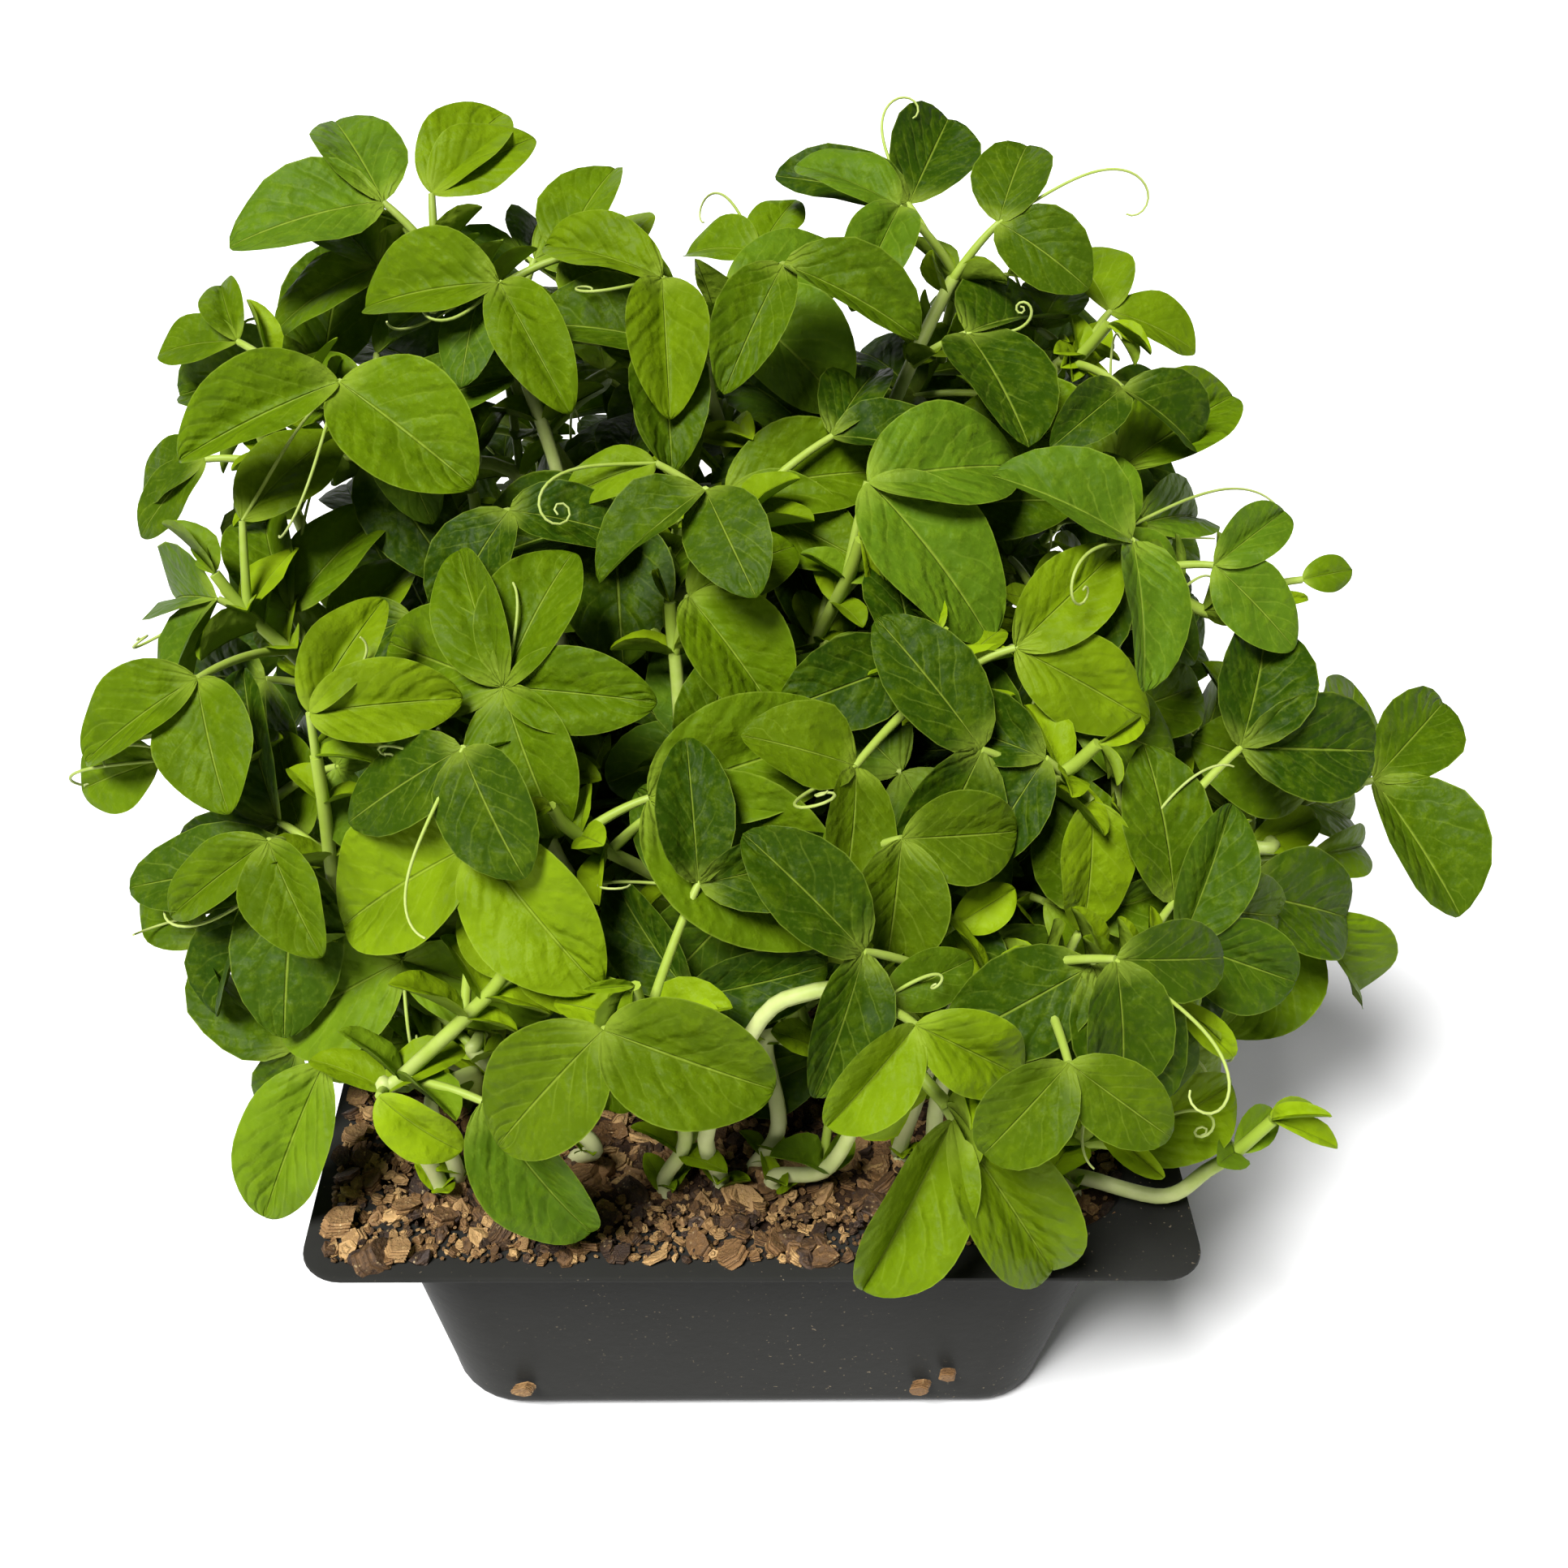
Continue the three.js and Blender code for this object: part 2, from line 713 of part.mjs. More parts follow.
// A round bar along points, tapering from one radius to the other.
function barSolid(points, radii, sides) {
  const rings = points.map((point, i) => {
    const ahead = points[Math.min(i + 1, points.length - 1)].clone();
    const along = ahead.sub(points[Math.max(i - 1, 0)]).normalize();
    const right = ACROSS_STEMS.clone().addScaledVector(along, -ACROSS_STEMS.dot(along)).normalize();
    const front = along.clone().cross(right);
    const radius = THREE.MathUtils.lerp(radii[0], radii[1], i / (points.length - 1));
    return Array.from({ length: sides }, (_, k) => {
      const turn = (2 * Math.PI * k) / sides;
      return point.clone()
        .addScaledVector(right, radius * Math.cos(turn))
        .addScaledVector(front, radius * Math.sin(turn));
    });
  });
  return solidFrom(loft(rings));
}

// The stem's points: even steps, and the exact foot of every leaf stalk.
function stemPoints(shoot) {
  const feet = shoot.stops.map((stop) => stop.at);
  const even = Array.from({ length: STEM_STEPS + 1 }, (_, i) => i / STEM_STEPS);
  const steps = even.filter((t) => t === 0 || feet.every((at) => Math.abs(at - t) > STEM_SPARE));
  const all = [...new Set([...steps, ...feet])].sort((a, b) => a - b);
  const [root, ...above] = all.map((t) => shoot.curve.getPoint(t));
  return [root, root.clone().add(vec(0, 0, COLLAR)), ...above];
}

function shootSolid(shoot) {
  let solid = barSolid(stemPoints(shoot), STEM_RADIUS, STEM_SIDES);
  for (const leaf of shoot.stops.filter((stop) => stop.blades.length > 0)) {
    const points = stalkPoints(leaf.foot, leaf.hinge, 2);
    const end = leaf.hinge.clone().sub(points[1]).setLength(STALK_END);
    points[2] = leaf.hinge.clone().add(end);
    solid = solid.add(barSolid(points, [PETIOLE_RADIUS, PETIOLE_RADIUS], STALK_SIDES));
    for (const blade of leaf.blades) {
      solid = solid.add(bladeSolid(blade));
    }
  }
  // The joins can leave crumbs of no size, so only the largest body is kept.
  return solid.decompose().sort((a, b) => b.volume() - a.volume())[0];
}

// ---- tray, medium and loose grains -----------------------------------------------------

const CORNER_STEPS = 5;
const BASE_STEPS = 3;
const MEDIUM_BEVEL = { in: 2, down: 1.5 };
const GRAIN_WIDTH = 0.75; // of its length
const GRAIN_HEIGHT = 0.5;
const WALL_GRAIN_DEPTH = 1.8; // a grain on the wall stands this far out of it
const WALL_GRAIN_HEIGHT = 0.6; // of its length

// A grain's middle along and above the wall or across the rim, and its length.
const WALL_GRAINS = [[-36, 9, 4.6], [27, 9, 4.4], [31, 13, 3.6]];
const RIM_GRAINS = [[-59, -55, 6], [-59.5, -38, 5], [-50, -59.5, 5], [41, -60, 4]];

// A square ring of half width `half` with round corners, at height z.
function squareRing(half, corner, z) {
  const inner = half - corner;
  const points = [];
  for (let quarter = 0; quarter < 4; quarter += 1) {
    const turn = (quarter * Math.PI) / 2;
    const centre = vec(inner, inner, z).applyAxisAngle(UP, turn);
    for (let step = 0; step <= CORNER_STEPS; step += 1) {
      const angle = turn + (step * Math.PI) / (2 * CORNER_STEPS);
      points.push(centre.clone().add(vec(corner * Math.cos(angle), corner * Math.sin(angle), 0)));
    }
  }
  return points;
}

// Half width of the wall's outside at height z, between the rounded base edge and the rim.
function wallAt(z) {
  const top = RIM_WIDTH / 2 - RIM_OVERHANG;
  return THREE.MathUtils.mapLinear(z, 0, TRAY_HEIGHT, BASE_WIDTH / 2, top);
}

// The wall's rings from floor to rim, drawn in by `inset` for the inside.
function wallRings(inset, floor, top) {
  const rings = [];
  for (let step = 0; step <= BASE_STEPS; step += 1) {
    const angle = (step * Math.PI) / (2 * BASE_STEPS);
    const z = floor + BASE_EDGE * (1 - Math.cos(angle));
    const half = wallAt(floor + BASE_EDGE) - inset - BASE_EDGE * (1 - Math.sin(angle));
    rings.push(squareRing(half, WALL_CORNER - inset - BASE_EDGE * (1 - Math.sin(angle)), z));
  }
  rings.push(squareRing(wallAt(top) - inset, WALL_CORNER - inset, top));
  return rings;
}

function trayGeometry() {
  const outside = wallRings(0, 0, TRAY_HEIGHT - SHEET);
  const rim = [
    squareRing(RIM_WIDTH / 2, RIM_CORNER, TRAY_HEIGHT - SHEET),
    squareRing(RIM_WIDTH / 2, RIM_CORNER, TRAY_HEIGHT),
  ];
  const inside = wallRings(SHEET, SHEET, TRAY_HEIGHT).reverse();
  return loft([...outside, ...rim, ...inside]);
}

function mediumGeometry() {
  const inset = SHEET + FIT;
  const rings = wallRings(inset, SHEET + FIT, MEDIUM_TOP - MEDIUM_BEVEL.down);
  const half = wallAt(MEDIUM_TOP) - inset - MEDIUM_BEVEL.in;
  rings.push(squareRing(half, WALL_CORNER - inset - MEDIUM_BEVEL.in, MEDIUM_TOP));
  return loft(rings);
}

// A loose flake of the medium, its flat side down.
function grainGeometry([length, width, height]) {
  const grain = new THREE.IcosahedronGeometry(0.5, 0);
  grain.scale(length, width, height);
  return grain;
}

// Grains that stuck to the front wall or were spilled on the rim.
function looseGrains() {
  const slope = Math.atan2(wallAt(TRAY_HEIGHT) - wallAt(0), TRAY_HEIGHT);
  const out = WALL_GRAIN_DEPTH / 2 + FIT;
  const onWall = WALL_GRAINS.map(([x, z, length], i) => ({
    name: `wall_grain_${i + 1}`,
    at: [x, -wallAt(z) - out * Math.cos(slope), z - out * Math.sin(slope)],
    size: [length, WALL_GRAIN_DEPTH, WALL_GRAIN_HEIGHT * length],
    tilt: slope,
  }));
  const onRim = RIM_GRAINS.map(([x, y, length], i) => ({
    name: `rim_grain_${i + 1}`,
    at: [x, y, TRAY_HEIGHT + (GRAIN_HEIGHT / 2) * length + FIT],
    size: [length, GRAIN_WIDTH * length, GRAIN_HEIGHT * length],
    tilt: 0,
  }));
  return [...onWall, ...onRim];
}

// ---- materials ----------------------------------------------------------------------------

const material = (color, roughness) => new THREE.MeshStandardMaterial({ color, roughness, metalness: 0 });
const paint = {
  tray: () => material(0x2b2c2e, 0.45),
  medium: () => material(0x6b4a2a, 0.9),
  grain: () => material(0xb08a55, 0.8),
  shoot: () => material(0x5f8f1e, 0.55),
};

function named(name, geometry, surface) {
  const mesh = new THREE.Mesh(geometry, surface);
  mesh.name = name;
  return mesh;
}

// ---- the whole tray --------------------------------------------------------------------------

function build() {
  const group = new THREE.Group();
  group.add(named('tray', trayGeometry(), paint.tray()));
  group.add(named('growing_medium', mediumGeometry(), paint.medium()));
  for (const grain of looseGrains()) {
    const mesh = named(grain.name, grainGeometry(grain.size), paint.grain());
    mesh.position.set(...grain.at);
    mesh.rotation.x = grain.tilt;
    group.add(mesh);
  }
  growPlants().forEach((shoot, i) => {
    const name = `shoot_${String(i + 1).padStart(2, '0')}`;
    group.add(named(name, geometryOf(shootSolid(shoot)), paint.shoot()));
  });
  return group;
}

const group = build();
export default group;
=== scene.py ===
"""Tray of pea shoot microgreens: the looks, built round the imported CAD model.

Each seedling grows by the same rule and the same random draws as the CAD solids, so its
leaves lie where the solids are. Smaller leaves, stipules and tendrils are added here.
Growth is worked out in millimetres; every Blender object is in metres.
"""

import json
import math

import bmesh
import bpy
import numpy as np
from mathutils import Euler, Matrix, Vector

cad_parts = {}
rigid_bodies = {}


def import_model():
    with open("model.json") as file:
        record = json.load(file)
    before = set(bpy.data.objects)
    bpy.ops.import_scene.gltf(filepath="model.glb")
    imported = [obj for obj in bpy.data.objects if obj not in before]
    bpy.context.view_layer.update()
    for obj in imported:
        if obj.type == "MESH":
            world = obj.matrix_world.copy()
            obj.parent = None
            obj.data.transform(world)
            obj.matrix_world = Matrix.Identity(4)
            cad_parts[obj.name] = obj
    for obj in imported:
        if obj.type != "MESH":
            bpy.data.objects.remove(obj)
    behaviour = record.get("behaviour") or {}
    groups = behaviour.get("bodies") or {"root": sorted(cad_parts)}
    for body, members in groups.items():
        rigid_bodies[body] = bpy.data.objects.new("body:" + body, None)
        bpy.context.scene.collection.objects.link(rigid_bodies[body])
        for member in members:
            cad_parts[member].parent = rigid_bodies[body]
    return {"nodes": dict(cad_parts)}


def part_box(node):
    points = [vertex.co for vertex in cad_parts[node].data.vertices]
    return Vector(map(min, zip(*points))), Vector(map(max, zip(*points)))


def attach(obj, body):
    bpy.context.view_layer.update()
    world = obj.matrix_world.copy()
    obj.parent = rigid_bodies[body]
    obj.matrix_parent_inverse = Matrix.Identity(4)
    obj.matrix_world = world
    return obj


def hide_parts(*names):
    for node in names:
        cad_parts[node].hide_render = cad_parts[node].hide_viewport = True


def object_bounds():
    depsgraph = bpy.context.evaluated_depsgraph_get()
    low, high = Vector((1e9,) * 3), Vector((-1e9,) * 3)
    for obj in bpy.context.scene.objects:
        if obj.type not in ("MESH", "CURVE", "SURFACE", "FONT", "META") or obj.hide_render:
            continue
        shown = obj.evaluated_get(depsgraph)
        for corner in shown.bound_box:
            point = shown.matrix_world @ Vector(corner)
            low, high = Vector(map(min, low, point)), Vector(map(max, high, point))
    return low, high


bl_info = {
    "name": "Pea Shoot Tray",
    "version": (1, 0, 0),
    "blender": (4, 5, 0),
    "location": "View3D > Sidebar > Pea Shoots",
    "description": "Builds a tray of pea shoot microgreens round its CAD model",
    "category": "Object",
}

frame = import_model()
CAD_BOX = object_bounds()
MM = 0.001

# ---- driving dimensions, in millimetres ----


def box_mm(node):
    low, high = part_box(node)
    return np.array(low) / MM, np.array(high) / MM


TRAY_LOW, TRAY_HIGH = box_mm("tray")
RIM_WIDTH = round(float(TRAY_HIGH[0] - TRAY_LOW[0]), 2)
TRAY_HEIGHT = round(float(TRAY_HIGH[2]), 2)
MEDIUM_TOP = round(float(box_mm("growing_medium")[1][2]), 2)
RIM_OVERHANG = 8.0
RIM_CORNER = 6.0
BASE_WIDTH = 96.0
SHEET = 1.0
BASE_EDGE = 4.5
WALL_CORNER = 12.0
WALL_LIP = 2.2
FIT = 0.3

# ---- how the shoots grow ----

GRID = 7
PITCH = 14.0
ROOT_JITTER = 3.0
SEED = 86
STEM_RADIUS = (1.3, 0.9)
LEAF_GAP = 2.5
STEM_GAP = 2.5
STEM_SAMPLES = 60
STALK_SAMPLES = 8
LEAF_SAMPLES = 10
EDGE_SAMPLES = 3
STEM_TRIES = 60
FILLING_TRIES = 30
SIDE_TRIES = 18
NOBODY = -1

# The crown's outline: an ellipsoid that rises towards the back.
CROWN_CENTRE = np.array([2.0, 14.0, TRAY_HEIGHT + 8])
CROWN_RADII = np.array([94.0, 84.0, 90.0])
CROWN_SHEAR = 0.45
CROWN_LOW = np.array([-98.0, -78.0, 46.0])
CROWN_HIGH = np.array([114.0, 98.0, 178.0])
FILLING_SCALE = (0.7, 0.86)
FILLING_PLAY = 0.18
FILLING_REACH = 0.96
FRONT_EDGE = -46.0
LEAF_CLEAR = 3.0
FRONT_CLEAR = 84.0

# A leaf faces out of the crown and towards the light, and strays from that by its lean.
LIGHT = np.array([0.0, -1.4, 1.1])
LEAN = np.array([0.45, 0.45, 0.25])
LENGTH_PLAY = (0.92, 1.08)
WIDTH_SHARE = (0.62, 0.8)
FOLD = (0.15, 0.8)
DROOP = (0.25, 0.6)
WIDEST = 0.88
BLUNTNESS = 0.62
SINK = np.array([0.0, 1.6, -1.2])
SINK_STEPS = 20
UP = np.array([0.0, 0.0, 1.0])

# What a thread or a seat is, and which blank a blade is bent from.
STALK, BLADE, TENDRIL = 0, 1, 2
FINE, SMALL = 0, 1

ROOT_SHARE = (0.5, 0.55)
ROOT_FORWARD = 4.0
RISE = 16.0
RISE_SHARE = 0.4
COLLAR_RISE = 4.0
SWAY = (4.0, 8.0)
BOW = 6.0
BEND_PLAY = 2.0
TIP = (6.0, 2.0)
STALK_LENGTH = (10, 20)
STALK_PLAY = (0.4, 0.5)
STALK_PULL = 0.7
STALK_DEPTH = 25.0
STALK_BOW = 0.12

SIDE_LEAVES = (1, 0.86, 0.68, 0.52, 0.38)
FEATURE_REACH = 0.7
SIDE_TURN = 70
SIDE_PLAY = 50
SIDE_RISE = (5, 50)
SIDE_STALK = (9, 19)
SIDE_SPREAD = (38, 62)
SIDE_LENGTH = (17, 27)

# A shoot's stops follow its stem. A stop is a bend (x, y, z), or a leaf: its hinge, the
# headings of its leaflets, their length and, where it matters, the foot of its stalk.
FRONT_SHOOTS = [
    # the arch over the front rim, with the largest pair at its end
    {
        "root": [-5, -47],
        "stops": [
            [[-7, -50, 67]],
            [[0, -50, 88]],
            [[6, -50, 93]],
            [[16, -55, 97], [20], 13, [12, -51, 94]],
            [[18, -54, 89]],
            [[25, -62, 82], [-110, -50], 28, [21, -58, 86]],
        ],
    },
    # the stem that bends out under it
    {
        "root": [3, -47],
        "stops": [
            [[10, -49, 58]],
            [[14, -50, 70]],
            [[15, -49, 80]],
            [[26, -42, 98], [160, 30], 10],
        ],
    },
    # the bright pair beside it
    {
        "root": [-13, -47],
        "stops": [
            [[-10, -49, 66]],
            [[-20, -58, 94], [-140, -25], 23, [-15, -52, 89]],
        ],
    },
    # the front left corner
    {
        "root": [-46, -47],
        "stops": [
            [[-51, -53, 77], [-45], 15, [-51, -49, 74]],
            [[-37, -54, 77], [-60], 24, [-49, -49, 76]],
            [[-33, -45, 91], [110, 40], 14, [-37, -46, 88]],
        ],
    },
    # two arches to the right
    {
        "root": [22, -40],
        "stops": [
            [[26, -47, 86]],
            [[31, -48, 94]],
            [[44, -48, 93]],
            [[54, -50, 89], [-60, -125, 170], 12, [50, -49, 91]],
        ],
    },
    {
        "root": [26, -47],
        "stops": [
            [[25, -50, 74]],
            [[29, -50, 84]],
            [[38, -48, 88]],
            [[50, -42, 86], [-15], 16],
        ],
    },
    # a low leaf at the front right corner, and a seedling that lies over the rim there
    {
        "root": [40, -45],
        "stops": [
            [[50, -51, 65], [25], 24, [45, -48, 62]],
        ],
    },
    {
        "root": [47, -47],
        "stops": [
            [[57, -52, 55]],
            [[66, -51, 57]],
            [[68, -49, 63], [110], 9, [67, -50, 61]],
        ],
    },
]

CROWN_SHOOTS = [
    # past the left rim, and the upright stem behind with a stalk to the side
    [
        [[-60, -45, 75], [-120], 25],
    ],
    [
        [[-50, -35, 85], [-155, -20], 22],
    ],
    [
        [[-55, -25, 75]],
        [[-80, -25, 80], [130], 16, [-60, -25, 85]],
        [[-60, -25, 120], [5, 60], 19, [-60, -25, 105]],
    ],
    [
        [[-65, -20, 95], [105], 17],
        [[-85, -15, 105], [-170], 16],
    ],
    # the star of leaflets
    [
        [[-35, -25, 125], [-80, -15, 60, 105, 150], 21],
    ],
    # the two large leaves in the middle of the front
    [
        [[-25, -30, 95], [-135], 14],
        [[-15, -30, 110], [-35, 20], 30, [-25, -30, 105]],
    ],
    [
        [[20, -30, 115], [-60, 135], 25, [10, -20, 105]],
    ],
    # stepping up the middle
    [
        [[-10, -10, 130], [-50, 35], 20],
    ],
    [
        [[-15, 10, 140], [-160], 14],
        [[-5, 5, 140], [-30, 10], 23],
    ],
    [
        [[10, -5, 120], [-35], 16],
        [[15, 5, 140], [-45, 20], 27],
    ],
    [
        [[35, -15, 125], [45, -25], 22, [25, -15, 120]],
    ],
    [
        [[30, -25, 100]],
        [[45, -30, 110], [-80], 17, [40, -25, 110]],
    ],
    [
        [[40, -40, 100], [-20], 22],
        [[55, -35, 85], [-40], 15],
    ],
    # the right side, which reaches well past the rim
    [
        [[40, -20, 100]],
        [[50, -25, 100]],
        [[70, -25, 90], [5], 27, [60, -25, 95]],
    ],
    [
        [[85, -10, 85], [20], 16],
        [[85, -20, 80], [-20, -115], 23],
    ],
    [
        [[80, -10, 85]],
        [[85, -5, 95], [60, 175], 23],
    ],
    [
        [[35, -10, 105], [10], 22],
        [[60, 0, 100], [85], 16],
    ],
    [
        [[80, 0, 100], [90], 16],
        [[60, 10, 115], [45], 13],
    ],
    [
        [[50, 0, 135], [-30, 85], 16],
        [[65, 0, 130], [40, -40], 16],
        [[80, 5, 125], [20], 10],
    ],
    # the top, right to left
    [
        [[45, 40, 140]],
        [[55, 45, 150], [-10, 105], 17],
    ],
    [
        [[55, 40, 140], [5, -50], 14],
    ],
    [
        [[25, 40, 145], [125, 20], 15],
        [[30, 45, 155]],
        [[40, 45, 160], [15], 12],
    ],
    [
        [[-5, 35, 155], [-35, 30], 23],
        [[0, 55, 155], [155, 65], 14],
    ],
    [
        [[-15, 30, 145], [110, -80], 18],
    ],
    [
        [[-35, 50, 155], [25], 17],
        [[-20, 55, 155], [100], 12],
    ],
    [
        [[-50, 50, 155], [160], 14],
        [[-50, 50, 165], [35, 60], 20],
    ],
    [
        [[-40, 45, 140], [75], 15],
        [[-60, 40, 145], [35], 18],
    ],
    [
        [[-45, 30, 130], [75, 125], 15],
    ],
    [
        [[-60, 35, 140], [170], 18],
        [[-80, 40, 145], [110, 170], 15],
    ],
    [
        [[-70, 10, 115], [110, 50], 23],
        [[-75, 10, 130], [50], 22],
    ],
    [
        [[-50, 0, 120], [-170], 18],
    ],
    [
        [[-85, 30, 130], [170, -155], 16],
    ],
]

FEATURE_SHOOTS = [*FRONT_SHOOTS, *({"stops": stops} for stops in CROWN_SHOOTS)]


def unit(vector):
    return vector / np.linalg.norm(vector)


def clamp(value):
    return min(1, max(0, value))


def seeded(seed):
    """A seeded row of numbers, so that every run grows the same plants."""
    state = [seed]

    def draw(low=0.0, high=1.0):
        state[0] = (state[0] * 1664525 + 1013904223) % 4294967296
        return low + (high - low) * state[0] / 4294967296

    return draw


def direction(heading, rise):
    h, r = math.radians(heading), math.radians(rise)
    return np.array([math.cos(h) * math.cos(r), math.sin(h) * math.cos(r), math.sin(r)])


class Leaflet:
    """One blade: it starts at its hinge, runs along `along` and faces `face`."""

    def __init__(self, hinge, face, heading, length, width, fold, droop):
        level = direction(heading, 0)
        half_way = UP + face
        self.hinge, self.face = hinge, face
        self.along = level - half_way * (half_way @ level) / (1 + UP @ face)
        self.across = np.cross(self.along, face)
        self.length, self.width, self.fold, self.droop = length, width, fold, droop

    def points(self, u, v):
        """The points at u along the midrib (0 hinge, 1 tip) and v across it (-1 to 1)."""
        bend = self.droop * u
        reach = self.length * np.sin(bend) / self.droop
        drop = self.length * (1 - np.cos(bend)) / self.droop
        half = self.width / 2 * np.maximum(0, np.sin(np.pi * u**WIDEST)) ** BLUNTNESS
        side = v * half * math.cos(self.fold)
        lift = np.abs(v) * half * math.sin(self.fold)
        forward = (reach + lift * np.sin(bend))[:, None] * self.along
        upward = (lift * np.cos(bend) - drop)[:, None] * self.face
        return self.hinge + forward + upward + side[:, None] * self.across


SAMPLE_U = np.repeat((np.arange(LEAF_SAMPLES) + 0.5) / LEAF_SAMPLES, 2 * EDGE_SAMPLES + 1)
SAMPLE_V = np.tile(np.arange(-EDGE_SAMPLES, EDGE_SAMPLES + 1) / EDGE_SAMPLES, LEAF_SAMPLES)


class Leaf:
    """Leaflets that share a hinge at the end of a stalk, or a mere bend if there are none."""

    def __init__(self, hinge, headings, length, draw):
        self.hinge = np.array(hinge, float)
        self.lean = np.array([draw(-1, 1), draw(-1, 1), draw(-1, 1)]) * LEAN
        self.shapes = [self.shape(heading, length * draw(*LENGTH_PLAY), draw) for heading in headings]
        self.foot, self.at, self.stated, self.blank = None, 0.0, None, FINE
        self.unfold()

    @staticmethod
    def shape(heading, length, draw):
        return heading, length, length * draw(*WIDTH_SHARE), draw(*FOLD), draw(*DROOP)

    def unfold(self):
        outward = unit((self.hinge - CROWN_CENTRE) / CROWN_RADII**2)
        face = unit(outward + LIGHT + self.lean)
        self.blades = [Leaflet(self.hinge, face, *shape) for shape in self.shapes]
        samples = [blade.points(SAMPLE_U, SAMPLE_V) for blade in self.blades]
        self.samples = np.vstack(samples) if samples else np.empty((0, 3))


class Space:
    """The points already taken, and by which plant."""

    def __init__(self, room=200000):
        self.points = np.empty((room, 3))
        self.owners = np.empty(room, int)
        self.count = 0

    def add(self, points, owner):
        end = self.count + len(points)
        self.points[self.count : end] = points
        self.owners[self.count : end] = owner
        self.count = end

    def crowding(self, points, gap, owner):
        """How many of the points come closer than gap to another owner's points."""
        taken, owners = self.points[: self.count], self.owners[: self.count]
        low, high = points.min(axis=0) - gap, points.max(axis=0) + gap
        near = taken[(owners != owner) & (taken >= low).all(axis=1) & (taken <= high).all(axis=1)]
        if not len(near):
            return 0
        apart = ((points[:, None, :] - near[None, :, :]) ** 2).sum(axis=2)
        return int((apart.min(axis=1) < gap * gap).sum())


def in_bounds(points):
    """Leaves stay over the rim or outside it, and leave the front of the medium open."""
    over = (np.abs(points[:, :2]) < RIM_WIDTH / 2 + LEAF_CLEAR).all(axis=1)
    floor = np.where(over, TRAY_HEIGHT + LEAF_CLEAR, CROWN_LOW[2])
    front = (points[:, 1] > FRONT_EDGE) | (points[:, 2] > FRONT_CLEAR)
    inside = ((points >= CROWN_LOW) & (points <= CROWN_HIGH)).all(axis=1)
    return bool(((points[:, 2] > floor) & front & inside).all())


def catmull(points, t):
    """The point at t (0 to 1) on a smooth curve through the points."""
    points = np.asarray(points)
    last = len(points) - 1
    index = min(int(last * t), last - 1)
    w = last * t - index
    before = points[index - 1] if index > 0 else 2 * points[0] - points[1]
    after = points[index + 2] if index + 2 <= last else 2 * points[last] - points[last - 1]
    a, b = points[index], points[index + 1]
    start, end = (b - before) / 2, (after - a) / 2
    square, cube = (3 * (b - a) - 2 * start - end), (2 * (a - b) + start + end)
    return a + start * w + square * w**2 + cube * w**3


def curve_points(points, count):
    return np.array([catmull(points, i / count) for i in range(count + 1)])


def stalk_points(foot, hinge, count):
    bow = (foot + hinge) / 2 + UP * STALK_BOW * np.linalg.norm(foot - hinge)
    t = np.linspace(0, 1, count + 1)[:, None]
    return (1 - t) ** 2 * foot + 2 * t * (1 - t) * bow + t**2 * hinge


def root_grid(draw):
    roots = []
    for row in range(GRID):
        for column in range(GRID):
            x = (column - (GRID - 1) / 2) * PITCH + draw(-ROOT_JITTER, ROOT_JITTER)
            y = (row - (GRID - 1) / 2) * PITCH + draw(-ROOT_JITTER, ROOT_JITTER)
            roots.append(np.array([x, y, MEDIUM_TOP + FIT]))
    return roots


def take_root(roots, stops):
    """Takes the free root nearest to half way out to the leaves."""
    middle = np.mean([stop.hinge for stop in stops], axis=0)
    x, y = middle[0] * ROOT_SHARE[0], middle[1] * ROOT_SHARE[1] - ROOT_FORWARD
    wanted = np.array([x, y, MEDIUM_TOP + FIT])
    roots.sort(key=lambda root: float(((root - wanted) ** 2).sum()))
    return roots.pop(0)


def settle(leaf, space, owner):
    """Moves a crowded leaf back and down until it is clear of the plants before it."""
    for _ in range(SINK_STEPS if len(leaf.samples) else 0):
        if space.crowding(leaf.samples, LEAF_GAP, owner) == 0:
            break
        leaf.hinge = leaf.hinge + SINK
        leaf.unfold()


def stalk_foot(leaf, root, attempt, draw):
    """Where a leaf's stalk leaves the stem: as stated, or back from the hinge."""
    if leaf.stated is not None:
        play = BEND_PLAY if attempt > 0 else 0
        return leaf.stated + np.array([draw(-play, play), draw(-play, play), draw(-play, play)])
    pull = unit(leaf.hinge - np.array([root[0], root[1], leaf.hinge[2] - STALK_DEPTH]))
    for blade in leaf.blades:
        pull = pull + blade.along * STALK_PULL / len(leaf.blades)
    aside, up = STALK_PLAY
    pull = unit(pull + np.array([draw(-aside, aside), draw(-aside, aside), draw(0, up)]))
    return leaf.hinge - pull * draw(*STALK_LENGTH)


def stem_controls(root, feet, steered, draw):
    """A stem's curve runs through these; one with no stated root rises and sways first."""
    first, last = feet[0], feet[-1]
    start = [root, root + UP * COLLAR_RISE]
    if not steered:
        rise = min(RISE, RISE_SHARE * (first[2] - root[2]))
        start[1] = root + np.array([draw(-SWAY[0], SWAY[0]), draw(-SWAY[0], SWAY[0]), rise])
        sway = np.array([draw(-SWAY[1], SWAY[1]), draw(-SWAY[1], SWAY[1]), draw(0, BOW)])
        start.append((start[1] + first) / 2 + sway)
    before = feet[-2] if len(feet) > 1 else start[-1]
    tip = last + unit(last - before) * TIP[0] + UP * TIP[1]
    return [*start, *feet, tip]


class Shoot:
    """One seedling: its root, the controls of its stem, and its leaves and bends."""

    def __init__(self, number, root, stops, steered=False):
        self.number, self.root, self.stops, self.steered = number, root, stops, steered
        self.controls = None

    @property
    def leaves(self):
        return [stop for stop in self.stops if stop.blades]

    def stem_point(self, t):
        return catmull(self.controls, t)


